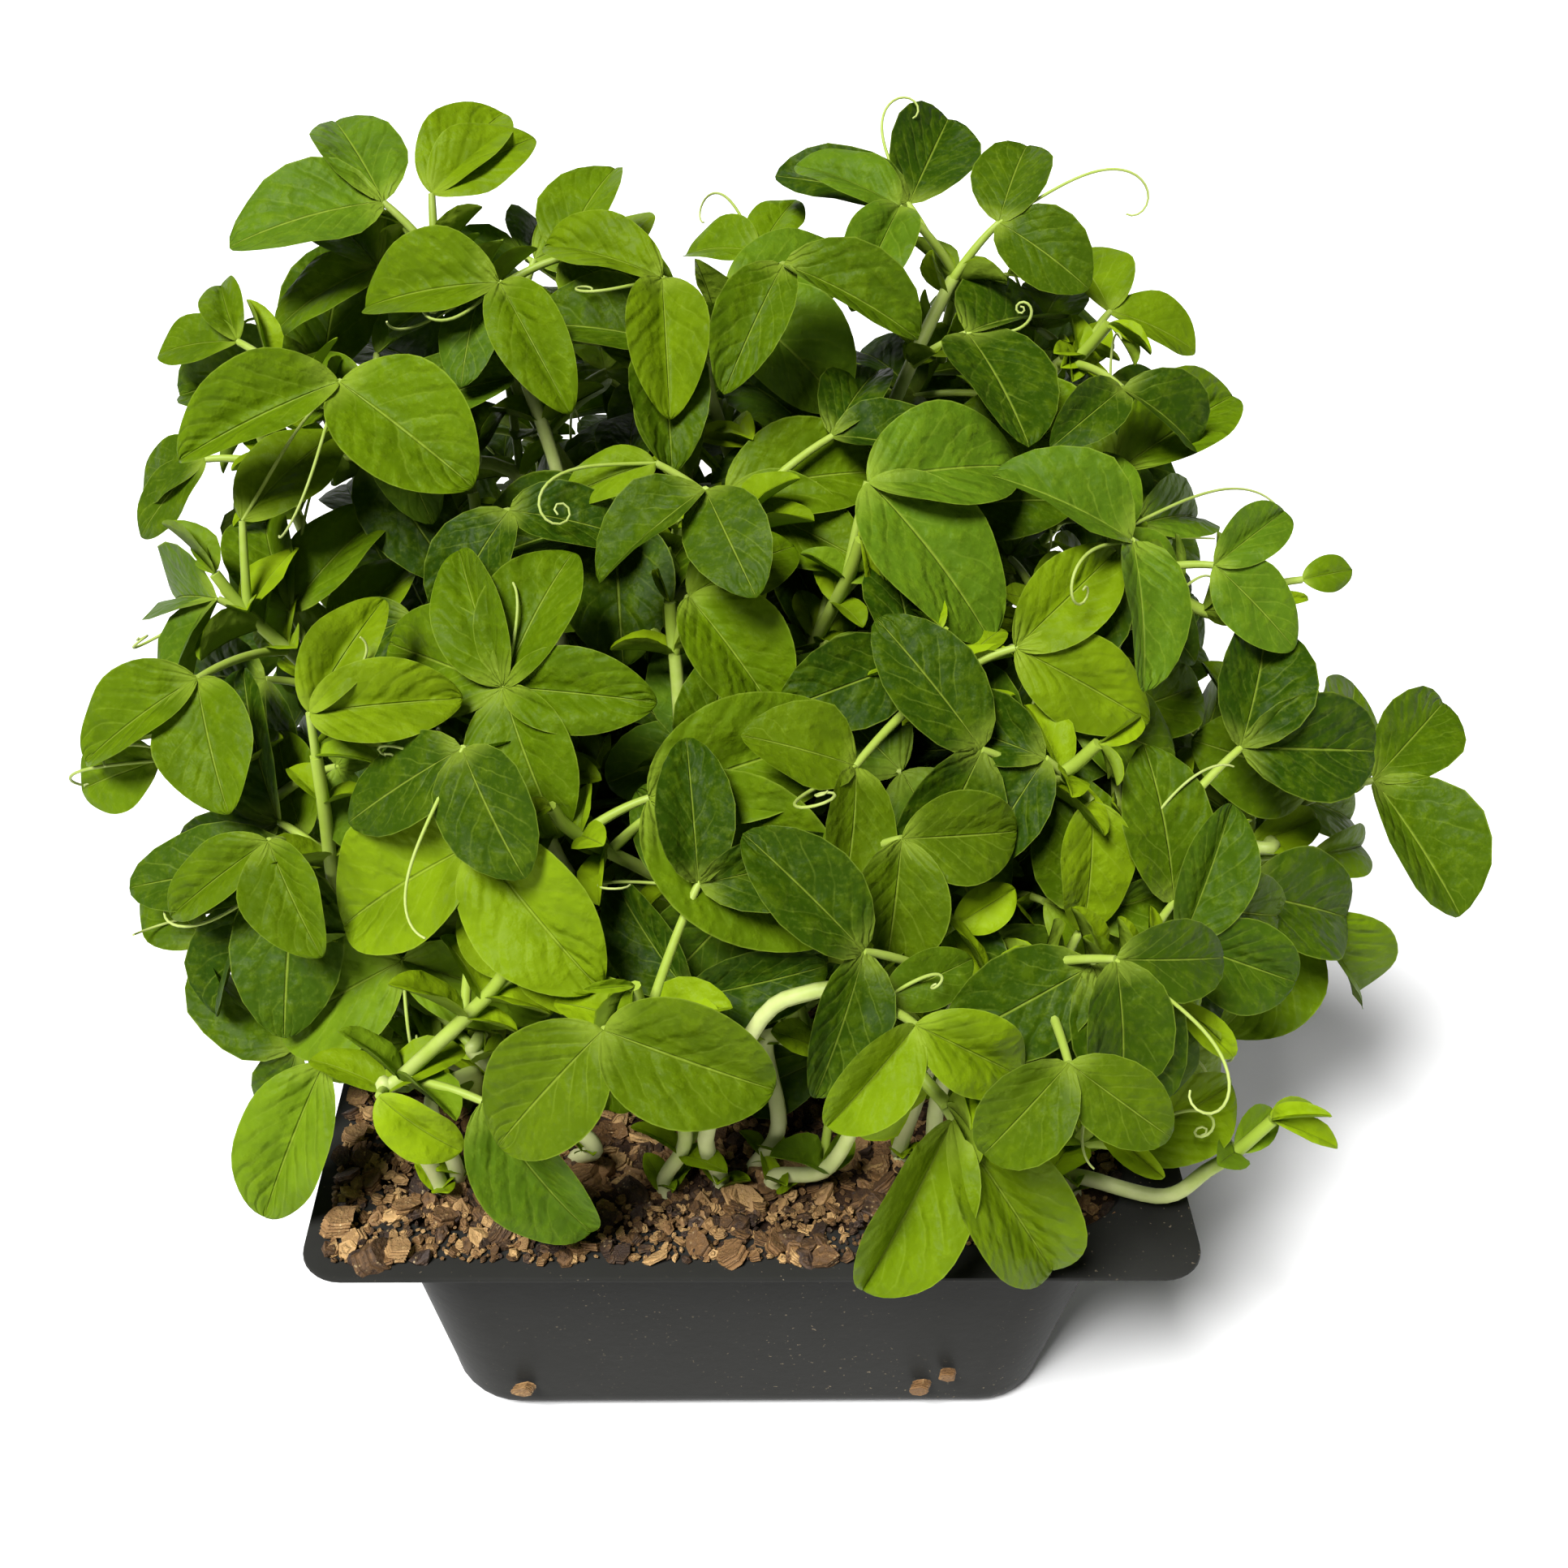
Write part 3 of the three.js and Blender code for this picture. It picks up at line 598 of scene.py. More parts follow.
def route_stem(shoot, space, draw):
    """Tries stems until one is clear of every other plant, and keeps the best."""
    best = None
    for attempt in range(STEM_TRIES):
        feet = [stalk_foot(stop, shoot.root, attempt, draw) for stop in shoot.stops]
        controls = stem_controls(shoot.root, feet, shoot.steered, draw)
        parts = [curve_points(controls, STEM_SAMPLES)]
        parts += [stalk_points(foot, stop.hinge, STALK_SAMPLES) for foot, stop in zip(feet, shoot.stops)]
        samples = np.vstack(parts)
        crowding = space.crowding(samples, STEM_GAP, shoot.number)
        if best is None or crowding < best[0]:
            best = (crowding, feet, controls, samples)
        if crowding == 0:
            break
    shoot.controls = best[2]
    lead = 2 if shoot.steered else 3
    for index, foot in enumerate(best[1]):
        shoot.stops[index].foot = foot
        shoot.stops[index].at = (index + lead) / (len(best[1]) + lead)
    space.add(best[3], shoot.number)


def side_leaf(shoot, at, side, draw):
    """A leaf somewhere along a stem, on the side that `side` (degrees) points to."""
    foot = shoot.stem_point(at)
    heading = side + draw(-SIDE_PLAY, SIDE_PLAY)
    hinge = foot + direction(heading, draw(*SIDE_RISE)) * draw(*SIDE_STALK)
    spread = draw(*SIDE_SPREAD)
    leaf = Leaf(hinge, [heading - spread, heading + spread], draw(*SIDE_LENGTH), draw)
    leaf.foot, leaf.at = foot, at
    return leaf


def add_side_leaf(shoot, at, side, space, draw):
    for _ in range(SIDE_TRIES):
        leaf = side_leaf(shoot, at, side, draw)
        stalk = stalk_points(leaf.foot, leaf.hinge, STALK_SAMPLES)[1:]
        if (
            in_bounds(leaf.samples)
            and space.crowding(leaf.samples, LEAF_GAP, NOBODY) == 0
            and space.crowding(stalk, STEM_GAP, shoot.number) == 0
        ):
            shoot.stops.append(leaf)
            space.add(np.vstack([leaf.samples, stalk]), shoot.number)
            return


def crown_point(root, scale, draw):
    """The point of the crown's outline that a root leans out to."""
    reach = GRID * PITCH / 2
    play = np.array([draw(-FILLING_PLAY, FILLING_PLAY), draw(-FILLING_PLAY, FILLING_PLAY)])
    lean = root[:2] / reach + play
    size = np.linalg.norm(lean)
    if size > FILLING_REACH:
        lean = lean * FILLING_REACH / size
    height = math.sqrt(1 - lean @ lean)
    point = np.array([lean[0], lean[1], height]) * CROWN_RADII * scale
    point[2] += CROWN_SHEAR * point[1]
    return point + CROWN_CENTRE


def filling_shoot(number, root, space, draw):
    best = None
    for _ in range(FILLING_TRIES):
        top = crown_point(root, draw(*FILLING_SCALE), draw)
        sway = np.array([draw(-SWAY[1], SWAY[1]), draw(-SWAY[1], SWAY[1]), draw(BOW, 2 * BOW)])
        controls = stem_controls(root, [(root + top) / 2 + sway, top], False, draw)
        samples = curve_points(controls, STEM_SAMPLES)
        crowding = space.crowding(samples, STEM_GAP, number)
        if best is None or crowding < best[0]:
            best = (crowding, controls, samples)
        if crowding == 0:
            break
    space.add(best[2], number)
    shoot = Shoot(number, root, [])
    shoot.controls = best[1]
    return shoot


def feature_shoot(feature, number, roots, draw):
    """A feature shoot's stops, and the root it stands on."""
    stops = []
    for place, headings, length, foot in (pad_stop(*stop) for stop in feature["stops"]):
        stop = Leaf(place, headings, length, draw)
        stated = foot if headings else place
        stop.stated = None if stated is None else np.array(stated, float)
        stops.append(stop)
    root = take_root(roots, stops)
    if "root" in feature:
        root = np.array([*feature["root"], MEDIUM_TOP + FIT])
    return Shoot(number, root, stops, "root" in feature)


def pad_stop(place, headings=(), length=0, foot=None):
    return place, headings, length, foot


def grow_plants():
    draw = seeded(SEED)
    space = Space()
    roots = root_grid(draw)
    shoots = [feature_shoot(feature, number, roots, draw) for number, feature in enumerate(FEATURE_SHOOTS)]
    for shoot in shoots:
        for stop in shoot.stops:
            settle(stop, space, shoot.number)
            space.add(stop.samples, shoot.number)
    for shoot in shoots:
        route_stem(shoot, space, draw)
    for root in roots:
        shoots.append(filling_shoot(len(shoots), root, space, draw))
    for order, at in enumerate(SIDE_LEAVES):
        side = SIDE_TURN if order % 2 == 0 else -SIDE_TURN
        for shoot in shoots:
            if shoot.number >= len(FEATURE_SHOOTS) or at < FEATURE_REACH:
                outward = math.degrees(math.atan2(shoot.root[1], shoot.root[0]))
                add_side_leaf(shoot, at, outward + side, space, draw)
    return shoots, space


# ---- what is added to each seedling ----

EXTRA_SEED = 7
EXTRA_PLACES = (0.75, 0.66, 0.57, 0.48, 0.4, 0.32, 0.25, 0.18)
EXTRA_TRIES = 16
EXTRA_GAP = 1.2
EXTRA_LEAN = 2.2  # inner leaves face more ways than the outer ones
EXTRA_CROWDED = 3  # how many of a leaf's sample points may lie that close to other leaves
EXTRA_RISE = (-10, 55)
EXTRA_STALK = (7, 22)
EXTRA_SPREAD = (35, 60)
EXTRA_LENGTH = (16, 25)


def extra_leaf(shoot, at, draw):
    """A leaf deeper in the crown, on any side of the stem."""
    foot = shoot.stem_point(at)
    heading = draw(0, 360)
    hinge = foot + direction(heading, draw(*EXTRA_RISE)) * draw(*EXTRA_STALK)
    spread = draw(*EXTRA_SPREAD)
    leaf = Leaf(hinge, [heading - spread, heading + spread], draw(*EXTRA_LENGTH), draw)
    leaf.lean = leaf.lean * EXTRA_LEAN
    leaf.unfold()
    leaf.foot, leaf.at, leaf.blank = foot, at, SMALL
    return leaf


def thicken(shoots, space, draw):
    """Adds the inner leaves that make the crown dense, clear of the leaves there are."""
    for at in EXTRA_PLACES:
        for shoot in shoots:
            for _ in range(EXTRA_TRIES):
                leaf = extra_leaf(shoot, at, draw)
                free = space.crowding(leaf.samples, EXTRA_GAP, NOBODY) <= EXTRA_CROWDED
                if free and in_bounds(leaf.samples):
                    shoot.stops.append(leaf)
                    space.add(leaf.samples, shoot.number)
                    break


def tendril_points(start, along, length, curl, draw):
    """A thread that runs straight at first and winds ever tighter towards its end."""
    side = unit(np.cross(along, UP) + 1e-6)
    rise = np.cross(side, along)
    plane = draw(0, 2 * math.pi)
    bend_way = side * math.cos(plane) + rise * math.sin(plane)
    turn, point, points = 0.0, start, [start]
    for step in range(TENDRIL_STEPS):
        share = step / TENDRIL_STEPS
        turn += curl * share**TENDRIL_TIGHTENING
        ahead = along * math.cos(turn) + bend_way * math.sin(turn)
        drift = np.cross(along, bend_way) * TENDRIL_DRIFT * share
        point = point + (ahead + drift) * length / TENDRIL_STEPS * (1 - TENDRIL_SHRINK * share)
        points.append(point)
    return np.array(points)


class Skeleton:
    """The points of one seedling: threads that become tubes, and seats of blades."""

    SCALARS = (
        "kind", "blank", "girth", "pale", "length", "width", "fold", "droop", "tone", "youth", "wave",
    )
    VECTORS = ("along", "face", "across")

    def __init__(self):
        self.places, self.edges, self.rows = [], [], []

    def thread(self, points, radii, kind, pale, tone):
        first = len(self.places)
        count = len(points)
        for index, point in enumerate(points):
            share = index / (count - 1)
            self.places.append(point)
            self.rows.append({
                "kind": kind,
                "girth": radii[0] + (radii[1] - radii[0]) * share,
                "pale": pale[0] + (pale[1] - pale[0]) * share,
                "tone": tone,
            })
        self.edges += [(first + i, first + i + 1) for i in range(count - 1)]

    def blade(self, leaflet, tone, youth, wave, blank=SMALL):
        self.places.append(leaflet.hinge)
        self.rows.append({
            "kind": BLADE,
            "blank": blank,
            "length": leaflet.length,
            "width": leaflet.width,
            "fold": leaflet.fold,
            "droop": leaflet.droop,
            "tone": tone,
            "youth": youth,
            "wave": wave,
            "along": leaflet.along,
            "face": leaflet.face,
            "across": leaflet.across,
        })

    def mesh(self, name):
        mesh = bpy.data.meshes.new(name)
        mesh.from_pydata([tuple(place * MM) for place in self.places], self.edges, [])
        for key in self.SCALARS:
            layer = mesh.attributes.new(key, "FLOAT", "POINT")
            layer.data.foreach_set("value", [float(row.get(key, 0.0)) for row in self.rows])
        for key in self.VECTORS:
            layer = mesh.attributes.new(key, "FLOAT_VECTOR", "POINT")
            values = [component for row in self.rows for component in row.get(key, (0, 0, 0))]
            layer.data.foreach_set("vector", values)
        return mesh


STEM_STEPS = 34
STALK_STEPS = 9
ROOT_DEPTH = 2.5
STALK_RADIUS = (0.78, 0.55)
STEM_PALE = (1.0, 0.12)  # from the root to the tip
STALK_PALE = (0.25, 0.35)
TENDRIL_PALE = (0.3, 0.55)
TENDRIL_STEPS = 26
TENDRIL_RADIUS = (0.3, 0.15)
TENDRIL_LENGTH = (16, 40)
TENDRIL_CURL = (0.15, 1.3)
TENDRIL_CHANCE = 0.5
TENDRIL_TIGHTENING = 2.2  # how late the winding sets in
TENDRIL_DRIFT = 0.12
TENDRIL_SHRINK = 0.45
TONE_PLAY = 0.35
YOUTH_PLAY = (-0.2, 0.45)
INNER_PAINTED_SHADE = 0.32  # painted shade: how much darker and less yellow a leaf deep in the crown is painted
FORWARD_REACH = 60  # leaves this far in front of the middle are painted the lightest and yellowest: painted light on the front of the crown
GROWN_LENGTH = 22  # a longer leaflet is full-grown and less yellow
GROWN_SHADE = 0.05  # how much duller each further millimetre makes it

# The small leaves on a seedling.
STIPULE = {"length": (7, 13), "width": 0.7, "fold": (0.35, 0.9), "youth": (0.55, 0.9)}
TUFT = {"length": (6, 12), "width": 0.6, "fold": (0.8, 1.25), "youth": (0.8, 1)}
BRACT = {"length": (4, 6.5), "width": 0.7, "fold": (0.3, 0.8), "youth": (0.6, 0.9)}
SMALL_DROOP = (0.2, 0.5)
STIPULE_TURNS = (0, 150)
TUFT_LEAVES = 3
BRACT_PLACES = ((0.03, 0), (0.07, 140), (0.1, 260))


def small_leaf(skeleton, kind, hinge, face, heading, length, tone, draw):
    width = length * kind["width"]
    blade = Leaflet(hinge, face, heading, length, width, draw(*kind["fold"]), draw(*SMALL_DROOP))
    skeleton.blade(blade, tone, draw(*kind["youth"]), draw(0, 1))


def stipules(skeleton, shoot, t, draw, tone):
    """The pair of half-clasping leaves where a stalk leaves the stem."""
    foot = shoot.stem_point(t)
    climb = unit(shoot.stem_point(min(1, t + 0.04)) - shoot.stem_point(max(0, t - 0.04)))
    around = draw(0, 360)
    for turn in STIPULE_TURNS:
        outward = direction(around + turn, draw(5, 40))
        face = unit(climb * 0.7 - outward * 0.5 + UP * 0.4)
        length = draw(*STIPULE["length"])
        heading = around + turn + draw(-20, 20)
        small_leaf(skeleton, STIPULE, foot, face, heading, length, tone, draw)


def tip_tuft(skeleton, shoot, draw, tone):
    """The young leaves, still folded, at the stem's tip."""
    tip = shoot.stem_point(1)
    climb = unit(tip - shoot.stem_point(0.93))
    for _ in range(TUFT_LEAVES):
        face = unit(UP * 0.5 + np.array([draw(-1, 1), draw(-1, 1), draw(-0.2, 0.4)]))
        length = draw(*TUFT["length"])
        heading = math.degrees(math.atan2(climb[1], climb[0])) + draw(-60, 60)
        small_leaf(skeleton, TUFT, tip, face, heading, length, tone, draw)


def base_bracts(skeleton, shoot, draw, tone):
    """The scale leaves round the foot of the stem."""
    for t, turn in BRACT_PLACES:
        foot = shoot.stem_point(t)
        heading = turn + draw(-40, 40)
        face = unit(UP * 0.6 - direction(heading, 0) * 0.8)
        length = draw(*BRACT["length"])
        small_leaf(skeleton, BRACT, foot, face, heading, length, tone, draw)


def shoot_skeleton(shoot, draw):
    skeleton = Skeleton()
    plant_tone = draw(0, 1)
    stem = curve_points(shoot.controls, STEM_STEPS)
    stem = np.vstack([stem[0] - UP * ROOT_DEPTH, stem])
    skeleton.thread(stem, STEM_RADIUS, STALK, STEM_PALE, plant_tone)
    for leaf in shoot.leaves:
        stalk = stalk_points(leaf.foot, leaf.hinge, STALK_STEPS)
        skeleton.thread(stalk, STALK_RADIUS, STALK, STALK_PALE, plant_tone)
        # Painted shade: the small leaves deep in the crown are painted darker
        inner = INNER_PAINTED_SHADE if leaf.blank == SMALL else 0.0
        tone = clamp(plant_tone - inner + draw(-TONE_PLAY, TONE_PLAY))
        height = (leaf.hinge[2] - TRAY_HEIGHT) / (CROWN_HIGH[2] - TRAY_HEIGHT)
        forward = clamp(-leaf.hinge[1] / FORWARD_REACH)
        grown = max(0, max(blade.length for blade in leaf.blades) - GROWN_LENGTH) * (1 - forward)
        # Painted light: leaves towards the front and the top of the crown are painted yellower and lighter;
        # the rest is the leaf's age and chance
        youth = 0.02 + 0.5 * forward + 0.15 * height - inner - GROWN_SHADE * grown
        youth = clamp(youth + draw(*YOUTH_PLAY))
        for blade in leaf.blades:
            skeleton.blade(blade, tone, youth, draw(0, 1), leaf.blank)
        stipules(skeleton, shoot, leaf.at, draw, tone)
        if draw(0, 1) < TENDRIL_CHANCE:
            ahead = unit(sum(blade.along for blade in leaf.blades) + UP * 0.25)
            points = tendril_points(leaf.hinge, ahead, draw(*TENDRIL_LENGTH), draw(*TENDRIL_CURL), draw)
            skeleton.thread(points, TENDRIL_RADIUS, TENDRIL, TENDRIL_PALE, tone)
    tip_tuft(skeleton, shoot, draw, plant_tone)
    base_bracts(skeleton, shoot, draw, plant_tone)
    return skeleton


# ---- nodes and sums on their sockets, for shaders and Geometry Nodes alike ----


def put(tree, value, socket):
    if isinstance(value, Wire):
        tree.links.new(value.socket, socket)
    else:
        socket.default_value = value


def add_node(tree, kind, links=None, **settings):
    """Adds a node: its settings first, then the values or links of its sockets."""
    node = tree.nodes.new(kind)
    for key, value in settings.items():
        setattr(node, key, value)
    for label, value in (links or {}).items():
        put(tree, value, node.inputs[label])
    return node


class Wire:
    """A node's output that takes part in ordinary sums."""

    def __init__(self, tree, socket):
        self.tree, self.socket = tree, socket

    @property
    def is_vector(self):
        return self.socket.type == "VECTOR"

    def math(self, operation, *values, kind="ShaderNodeMath"):
        node = add_node(self.tree, kind, dict(enumerate((self, *values))), operation=operation)
        return Wire(self.tree, node.outputs[0])

    def vector(self, operation, *values):
        return self.math(operation, *values, kind="ShaderNodeVectorMath")

    def scaled(self, factor):
        links = {0: self, "Scale": factor}
        node = add_node(self.tree, "ShaderNodeVectorMath", links, operation="SCALE")
        return Wire(self.tree, node.outputs[0])

    def __add__(self, other):
        return self.vector("ADD", other) if self.is_vector else self.math("ADD", other)

    def __sub__(self, other):
        return self.vector("SUBTRACT", other) if self.is_vector else self.math("SUBTRACT", other)

    def __mul__(self, other):
        if self.is_vector:
            return self.scaled(other)
        if isinstance(other, Wire) and other.is_vector:
            return other.scaled(self)
        return self.math("MULTIPLY", other)

    def __truediv__(self, other):
        return self.math("DIVIDE", other)

    def __pow__(self, other):
        return self.math("POWER", other)

    __radd__ = __add__
    __rmul__ = __mul__

    def __rsub__(self, other):
        return (self * -1) + other

    def sin(self):
        return self.math("SINE")

    def cos(self):
        return self.math("COSINE")

    def abs(self):
        return self.math("ABSOLUTE")

    def fraction(self):
        return self.math("FRACT")

    def clamped(self):
        return self.math("MAXIMUM", 0.0).math("MINIMUM", 1.0)

    def step(self, low, high):
        """0 below low, 1 above high and smooth between them."""
        links = {"Value": self, "From Min": low, "From Max": high}
        node = add_node(self.tree, "ShaderNodeMapRange", links, interpolation_type="SMOOTHSTEP")
        return Wire(self.tree, node.outputs["Result"])


class Shader:
    """A material being built: its tree, with short names for the nodes it uses."""

    def __init__(self, name):
        self.material = bpy.data.materials.get(name) or bpy.data.materials.new(name)
        self.material.use_nodes = True
        self.tree = self.material.node_tree
        self.tree.nodes.clear()
        self.surface = add_node(self.tree, "ShaderNodeBsdfPrincipled")
        skin = {"Surface": Wire(self.tree, self.surface.outputs[0])}
        self.output = add_node(self.tree, "ShaderNodeOutputMaterial", skin)

    def node(self, kind, output, links=None, **settings):
        """Adds a node and gives one of its outputs."""
        node = add_node(self.tree, f"ShaderNode{kind}", links, **settings)
        return Wire(self.tree, node.outputs[output])

    def attribute(self, name):
        return self.node("Attribute", "Fac", attribute_name=name)

    def position(self):
        return self.node("TexCoord", "Object")

    def noise(self, scale, detail=3.0, roughness=0.55):
        links = {"Vector": self.position(), "Scale": scale, "Detail": detail, "Roughness": roughness}
        return self.node("TexNoise", 0, links)

    def cells(self, scale):
        return self.node("TexVoronoi", "Distance", {"Vector": self.position(), "Scale": scale})

    def mix(self, factor, first, second):
        links = {0: factor, 6: self.colour(first), 7: self.colour(second)}
        return self.node("Mix", 2, links, data_type="RGBA")

    @staticmethod
    def colour(value):
        return value if isinstance(value, Wire) else (*value[:3], 1.0)

    def set(self, name, value):
        put(self.tree, value, self.surface.inputs[name])

    def bump(self, height, distance, strength):
        links = {"Strength": strength, "Distance": distance, "Height": height}
        self.set("Normal", self.node("Bump", "Normal", links))

    def see_through(self, colour, share):
        """Lets part of the light through, as a thin living leaf does."""
        glow = self.node("BsdfTranslucent", 0, {"Color": (*colour, 1.0)})
        skin = Wire(self.tree, self.surface.outputs[0])
        both = self.node("MixShader", 0, {0: share, 1: skin, 2: glow})
        put(self.tree, both, self.output.inputs["Surface"])


# ---- materials ----


def leaf_material(look):
    """Matt, slightly waxy green with a pale midrib, side veins and a paler underside."""
    s = Shader("pea_leaf")
    u, v = s.attribute("u"), s.attribute("v")
    tone, youth, upper = s.attribute("tone"), s.attribute("youth"), s.attribute("upper")
    off = v.abs()
    # A leaf's tone is partly chance and partly painted shade for the small leaves deep in the crown
    blade = s.mix(tone.step(0.05, 0.95), look.leaf_deep, look.leaf_mid)
    # Young green for young leaves, and painted light on the leaves at the front and top of the crown
    blade = s.mix(youth.step(0.25, 0.9), blade, look.leaf_young_and_lit)
    blade = s.mix((tone * 7.0).fraction().step(0.78, 0.95) * 0.6, blade, look.leaf_blue)
    blotch = s.noise(130.0, 3.0).step(0.42, 0.68)
    blade = s.mix(blotch * 0.28, blade, look.leaf_deep)
    quilt = s.noise(420.0, 3.0, 0.6).step(0.42, 0.7)
    blade = s.mix(quilt * 0.1, blade, look.leaf_young_and_lit)
    warp = s.noise(110.0, 3.0) - 0.5
    veins = ((u * 6.0 - off * 2.4 + warp * 1.3).fraction() - 0.5).abs()
    vein = (1.0 - veins.step(0.0, 0.08)) * (1.0 - off.step(0.6, 0.9)) * s.noise(90.0).step(0.35, 0.6)
    midrib = 1.0 - off.step(0.008, 0.04)
    speckle = s.noise(1500.0, 2.0).step(0.5, 0.75)
    edge = off.step(0.965, 1.0)
    skin = s.mix(vein * 0.15, blade, look.vein)
    skin = s.mix(speckle * 0.08, skin, look.vein)
    skin = s.mix(midrib * 0.42, skin, look.vein)
    skin = s.mix((1.0 - u.step(0.0, 0.2)) * 0.4, skin, look.vein)
    skin = s.mix(edge * 0.3, skin, look.vein)
    skin = s.mix((1.0 - upper.step(-0.3, -0.05)) * 0.6, skin, look.leaf_under)
    s.set("Base Color", skin)
    s.set("Roughness", 0.4 + s.noise(240.0) * 0.14 - midrib * 0.06)
    s.set("Specular IOR Level", 0.06)
    dimple = s.noise(210.0, 2.0, 0.5)
    ribs = veins.step(0.0, 0.35) * s.noise(120.0).step(0.35, 0.65) * s.attribute("length").step(11.0, 24.0)
    s.bump(ribs * 0.24 + dimple + quilt * 0.1 - midrib * 0.3, 0.001, 0.85)
    s.see_through(look.glow, youth * 0.18 + look.translucency)
    return s.material


def stem_material(look):
    """Nearly white where it leaves the medium, yellow-green higher up."""
    s = Shader("pea_stem")
    streak = s.noise(500.0, 2.0)
    pale = (s.attribute("pale") + (streak - 0.5) * 0.25).step(0.2, 1.0)
    green = s.mix(s.attribute("tone") * 0.35, look.stem_green, look.leaf_mid)
    s.set("Base Color", s.mix(pale, green, look.stem_pale))
    s.set("Roughness", 0.4 + streak * 0.15)
    s.set("Specular IOR Level", 0.25)
    s.bump(streak, 0.0002, 0.3)
    s.see_through(look.glow, 0.12)
    return s.material


def grain_material(look):
    """Expanded mineral flakes: layered, tan to dark brown, with shade painted between the layers and shiny
    cleavage faces, their brightness partly a painted highlight.
    """
    s = Shader("mineral_flake")
    tone = s.attribute("grain_tone")
    layer = s.attribute("layer")
    grit = s.noise(900.0, 4.0, 0.7)
    shade = (tone + (grit - 0.5) * 0.7).clamped()
    base = s.mix(shade.step(0.0, 0.55), look.grain_wet_and_shade, look.grain_brown)
    base = s.mix(shade.step(0.5, 1.0), base, look.grain_tan)
    # The dark lines between a flake's layers: partly its own layering, partly painted shade in the gaps
    leafs = ((layer * 4.0 + grit * 1.2).fraction() - 0.5).abs().step(0.0, 0.3)
    base = s.mix((1.0 - leafs) * 0.2, base, look.grain_wet_and_shade)
    # Painted highlight: the shiny faces are painted a bright gold, besides being partly metallic and
    # smoother
    glint = s.cells(1400.0).step(0.0, 0.35)
    shine = (1.0 - glint) * s.noise(300.0).step(0.5, 0.62)
    s.set("Base Color", s.mix(shine * 0.5, base, look.grain_glint))
    s.set("Metallic", shine * 0.35)
    s.set("Roughness", (0.7 - shine * 0.4).clamped())
    s.bump(grit + leafs * 0.3, 0.0006, 0.9)
    return s.material


def bed_material(look):
    """The dark flakes under the top layer: wet, and painted as dark as the shade between the grains."""
    s = Shader("medium_bed")
    grit = s.noise(420.0, 5.0, 0.7)
    s.set("Base Color", s.mix(grit.step(0.45, 0.9) * 0.5, look.grain_wet_and_shade, look.grain_brown))
    s.set("Roughness", 0.85)
    s.set("Specular IOR Level", 0.3)
    s.bump(grit, 0.0012, 1.0)
    return s.material


def plastic_material(look):
    """Thin black sheet, satin, with a faint mottle and dust."""
    s = Shader("tray_plastic")
    mottle = s.noise(38.0, 4.0, 0.6)
    fine = s.noise(700.0, 3.0)
    dust = s.noise(1500.0, 1.0).step(0.7, 0.76) * s.noise(50.0).step(0.4, 0.65)
    cloud = (mottle * 0.6 + s.noise(150.0, 3.0, 0.6) * 0.4).step(0.36, 0.64)
    colour = s.mix(cloud, look.plastic_dark, look.plastic_light)
    s.set("Base Color", s.mix(dust * 0.55, colour, look.dust))
    s.set("Roughness", (0.36 + mottle * 0.16 + dust * 0.3).clamped())
    s.set("Specular IOR Level", 0.035)
    s.bump(mottle * 0.7 + fine * 0.12, 0.0006, 0.5)
    return s.material


def floor_material(look):
    s = Shader("pale_floor")
    s.set("Base Color", (*look.floor, 1.0))
    s.set("Roughness", 0.8)
    s.set("Specular IOR Level", 0.2)
    return s.material


# ---- meshes and objects ----


def finished_mesh(bm, name):
    mesh = bpy.data.meshes.new(name)
    bm.to_mesh(mesh)
    bm.free()
    return mesh


def add_object(name, data):
    obj = bpy.data.objects.new(name, data)
    bpy.context.collection.objects.link(obj)
    return obj


# ---- Geometry Nodes ----


class Nodes:
    """A Geometry Nodes tree being built."""

    def __init__(self, name, inputs):
        old = bpy.data.node_groups.get(name)
        if old:
            bpy.data.node_groups.remove(old)
        self.tree = bpy.data.node_groups.new(name, "GeometryNodeTree")
        self.ids = {}
        self.tree.interface.new_socket("Geometry", in_out="INPUT", socket_type="NodeSocketGeometry")
        for label, (kind, default) in inputs.items():
            item = self.tree.interface.new_socket(label, in_out="INPUT", socket_type=f"NodeSocket{kind}")
            if default is not None:
                item.default_value = default
            self.ids[label] = item.identifier
        self.tree.interface.new_socket("Geometry", in_out="OUTPUT", socket_type="NodeSocketGeometry")
        self.source = add_node(self.tree, "NodeGroupInput")
        self.sink = add_node(self.tree, "NodeGroupOutput")

    def input(self, label):
        return Wire(self.tree, self.source.outputs[label])

    def node(self, kind, links=None, **settings):
        return add_node(self.tree, f"GeometryNode{kind}", links, **settings)

    def out(self, node, label=0):
        return Wire(self.tree, node.outputs[label])

    def named(self, name, vector=False):
        kind = "FLOAT_VECTOR" if vector else "FLOAT"
        node = self.node("InputNamedAttribute", {"Name": name}, data_type=kind)
        return self.out(node, "Attribute")

    def compare(self, value, low, high):
        """A selection: where low < value < high."""
        above = value.math("GREATER_THAN", low)
        below = value.math("LESS_THAN", high)
        return above * below

    def finish(self, geometry):
        put(self.tree, geometry, self.sink.inputs["Geometry"])


def apply_nodes(obj, nodes, values, name, materials):
    """Runs a tree on obj and keeps the result as a plain mesh of that name."""
    modifier = obj.modifiers.new("build", "NODES")
    modifier.node_group = nodes.tree
    for label, value in values.items():
        modifier[nodes.ids[label]] = value
    evaluated = obj.evaluated_get(bpy.context.evaluated_depsgraph_get())
    mesh = bpy.data.meshes.new_from_object(evaluated)
    obj.modifiers.remove(modifier)
    bpy.data.objects.remove(obj)
    mesh.name = name
    result = add_object(name, mesh)
    for index in reversed(range(len(mesh.materials))):
        if mesh.materials[index] is None:
            mesh.materials.pop(index=index)
    if not mesh.materials:
        for material in materials:
            mesh.materials.append(material)
    return result


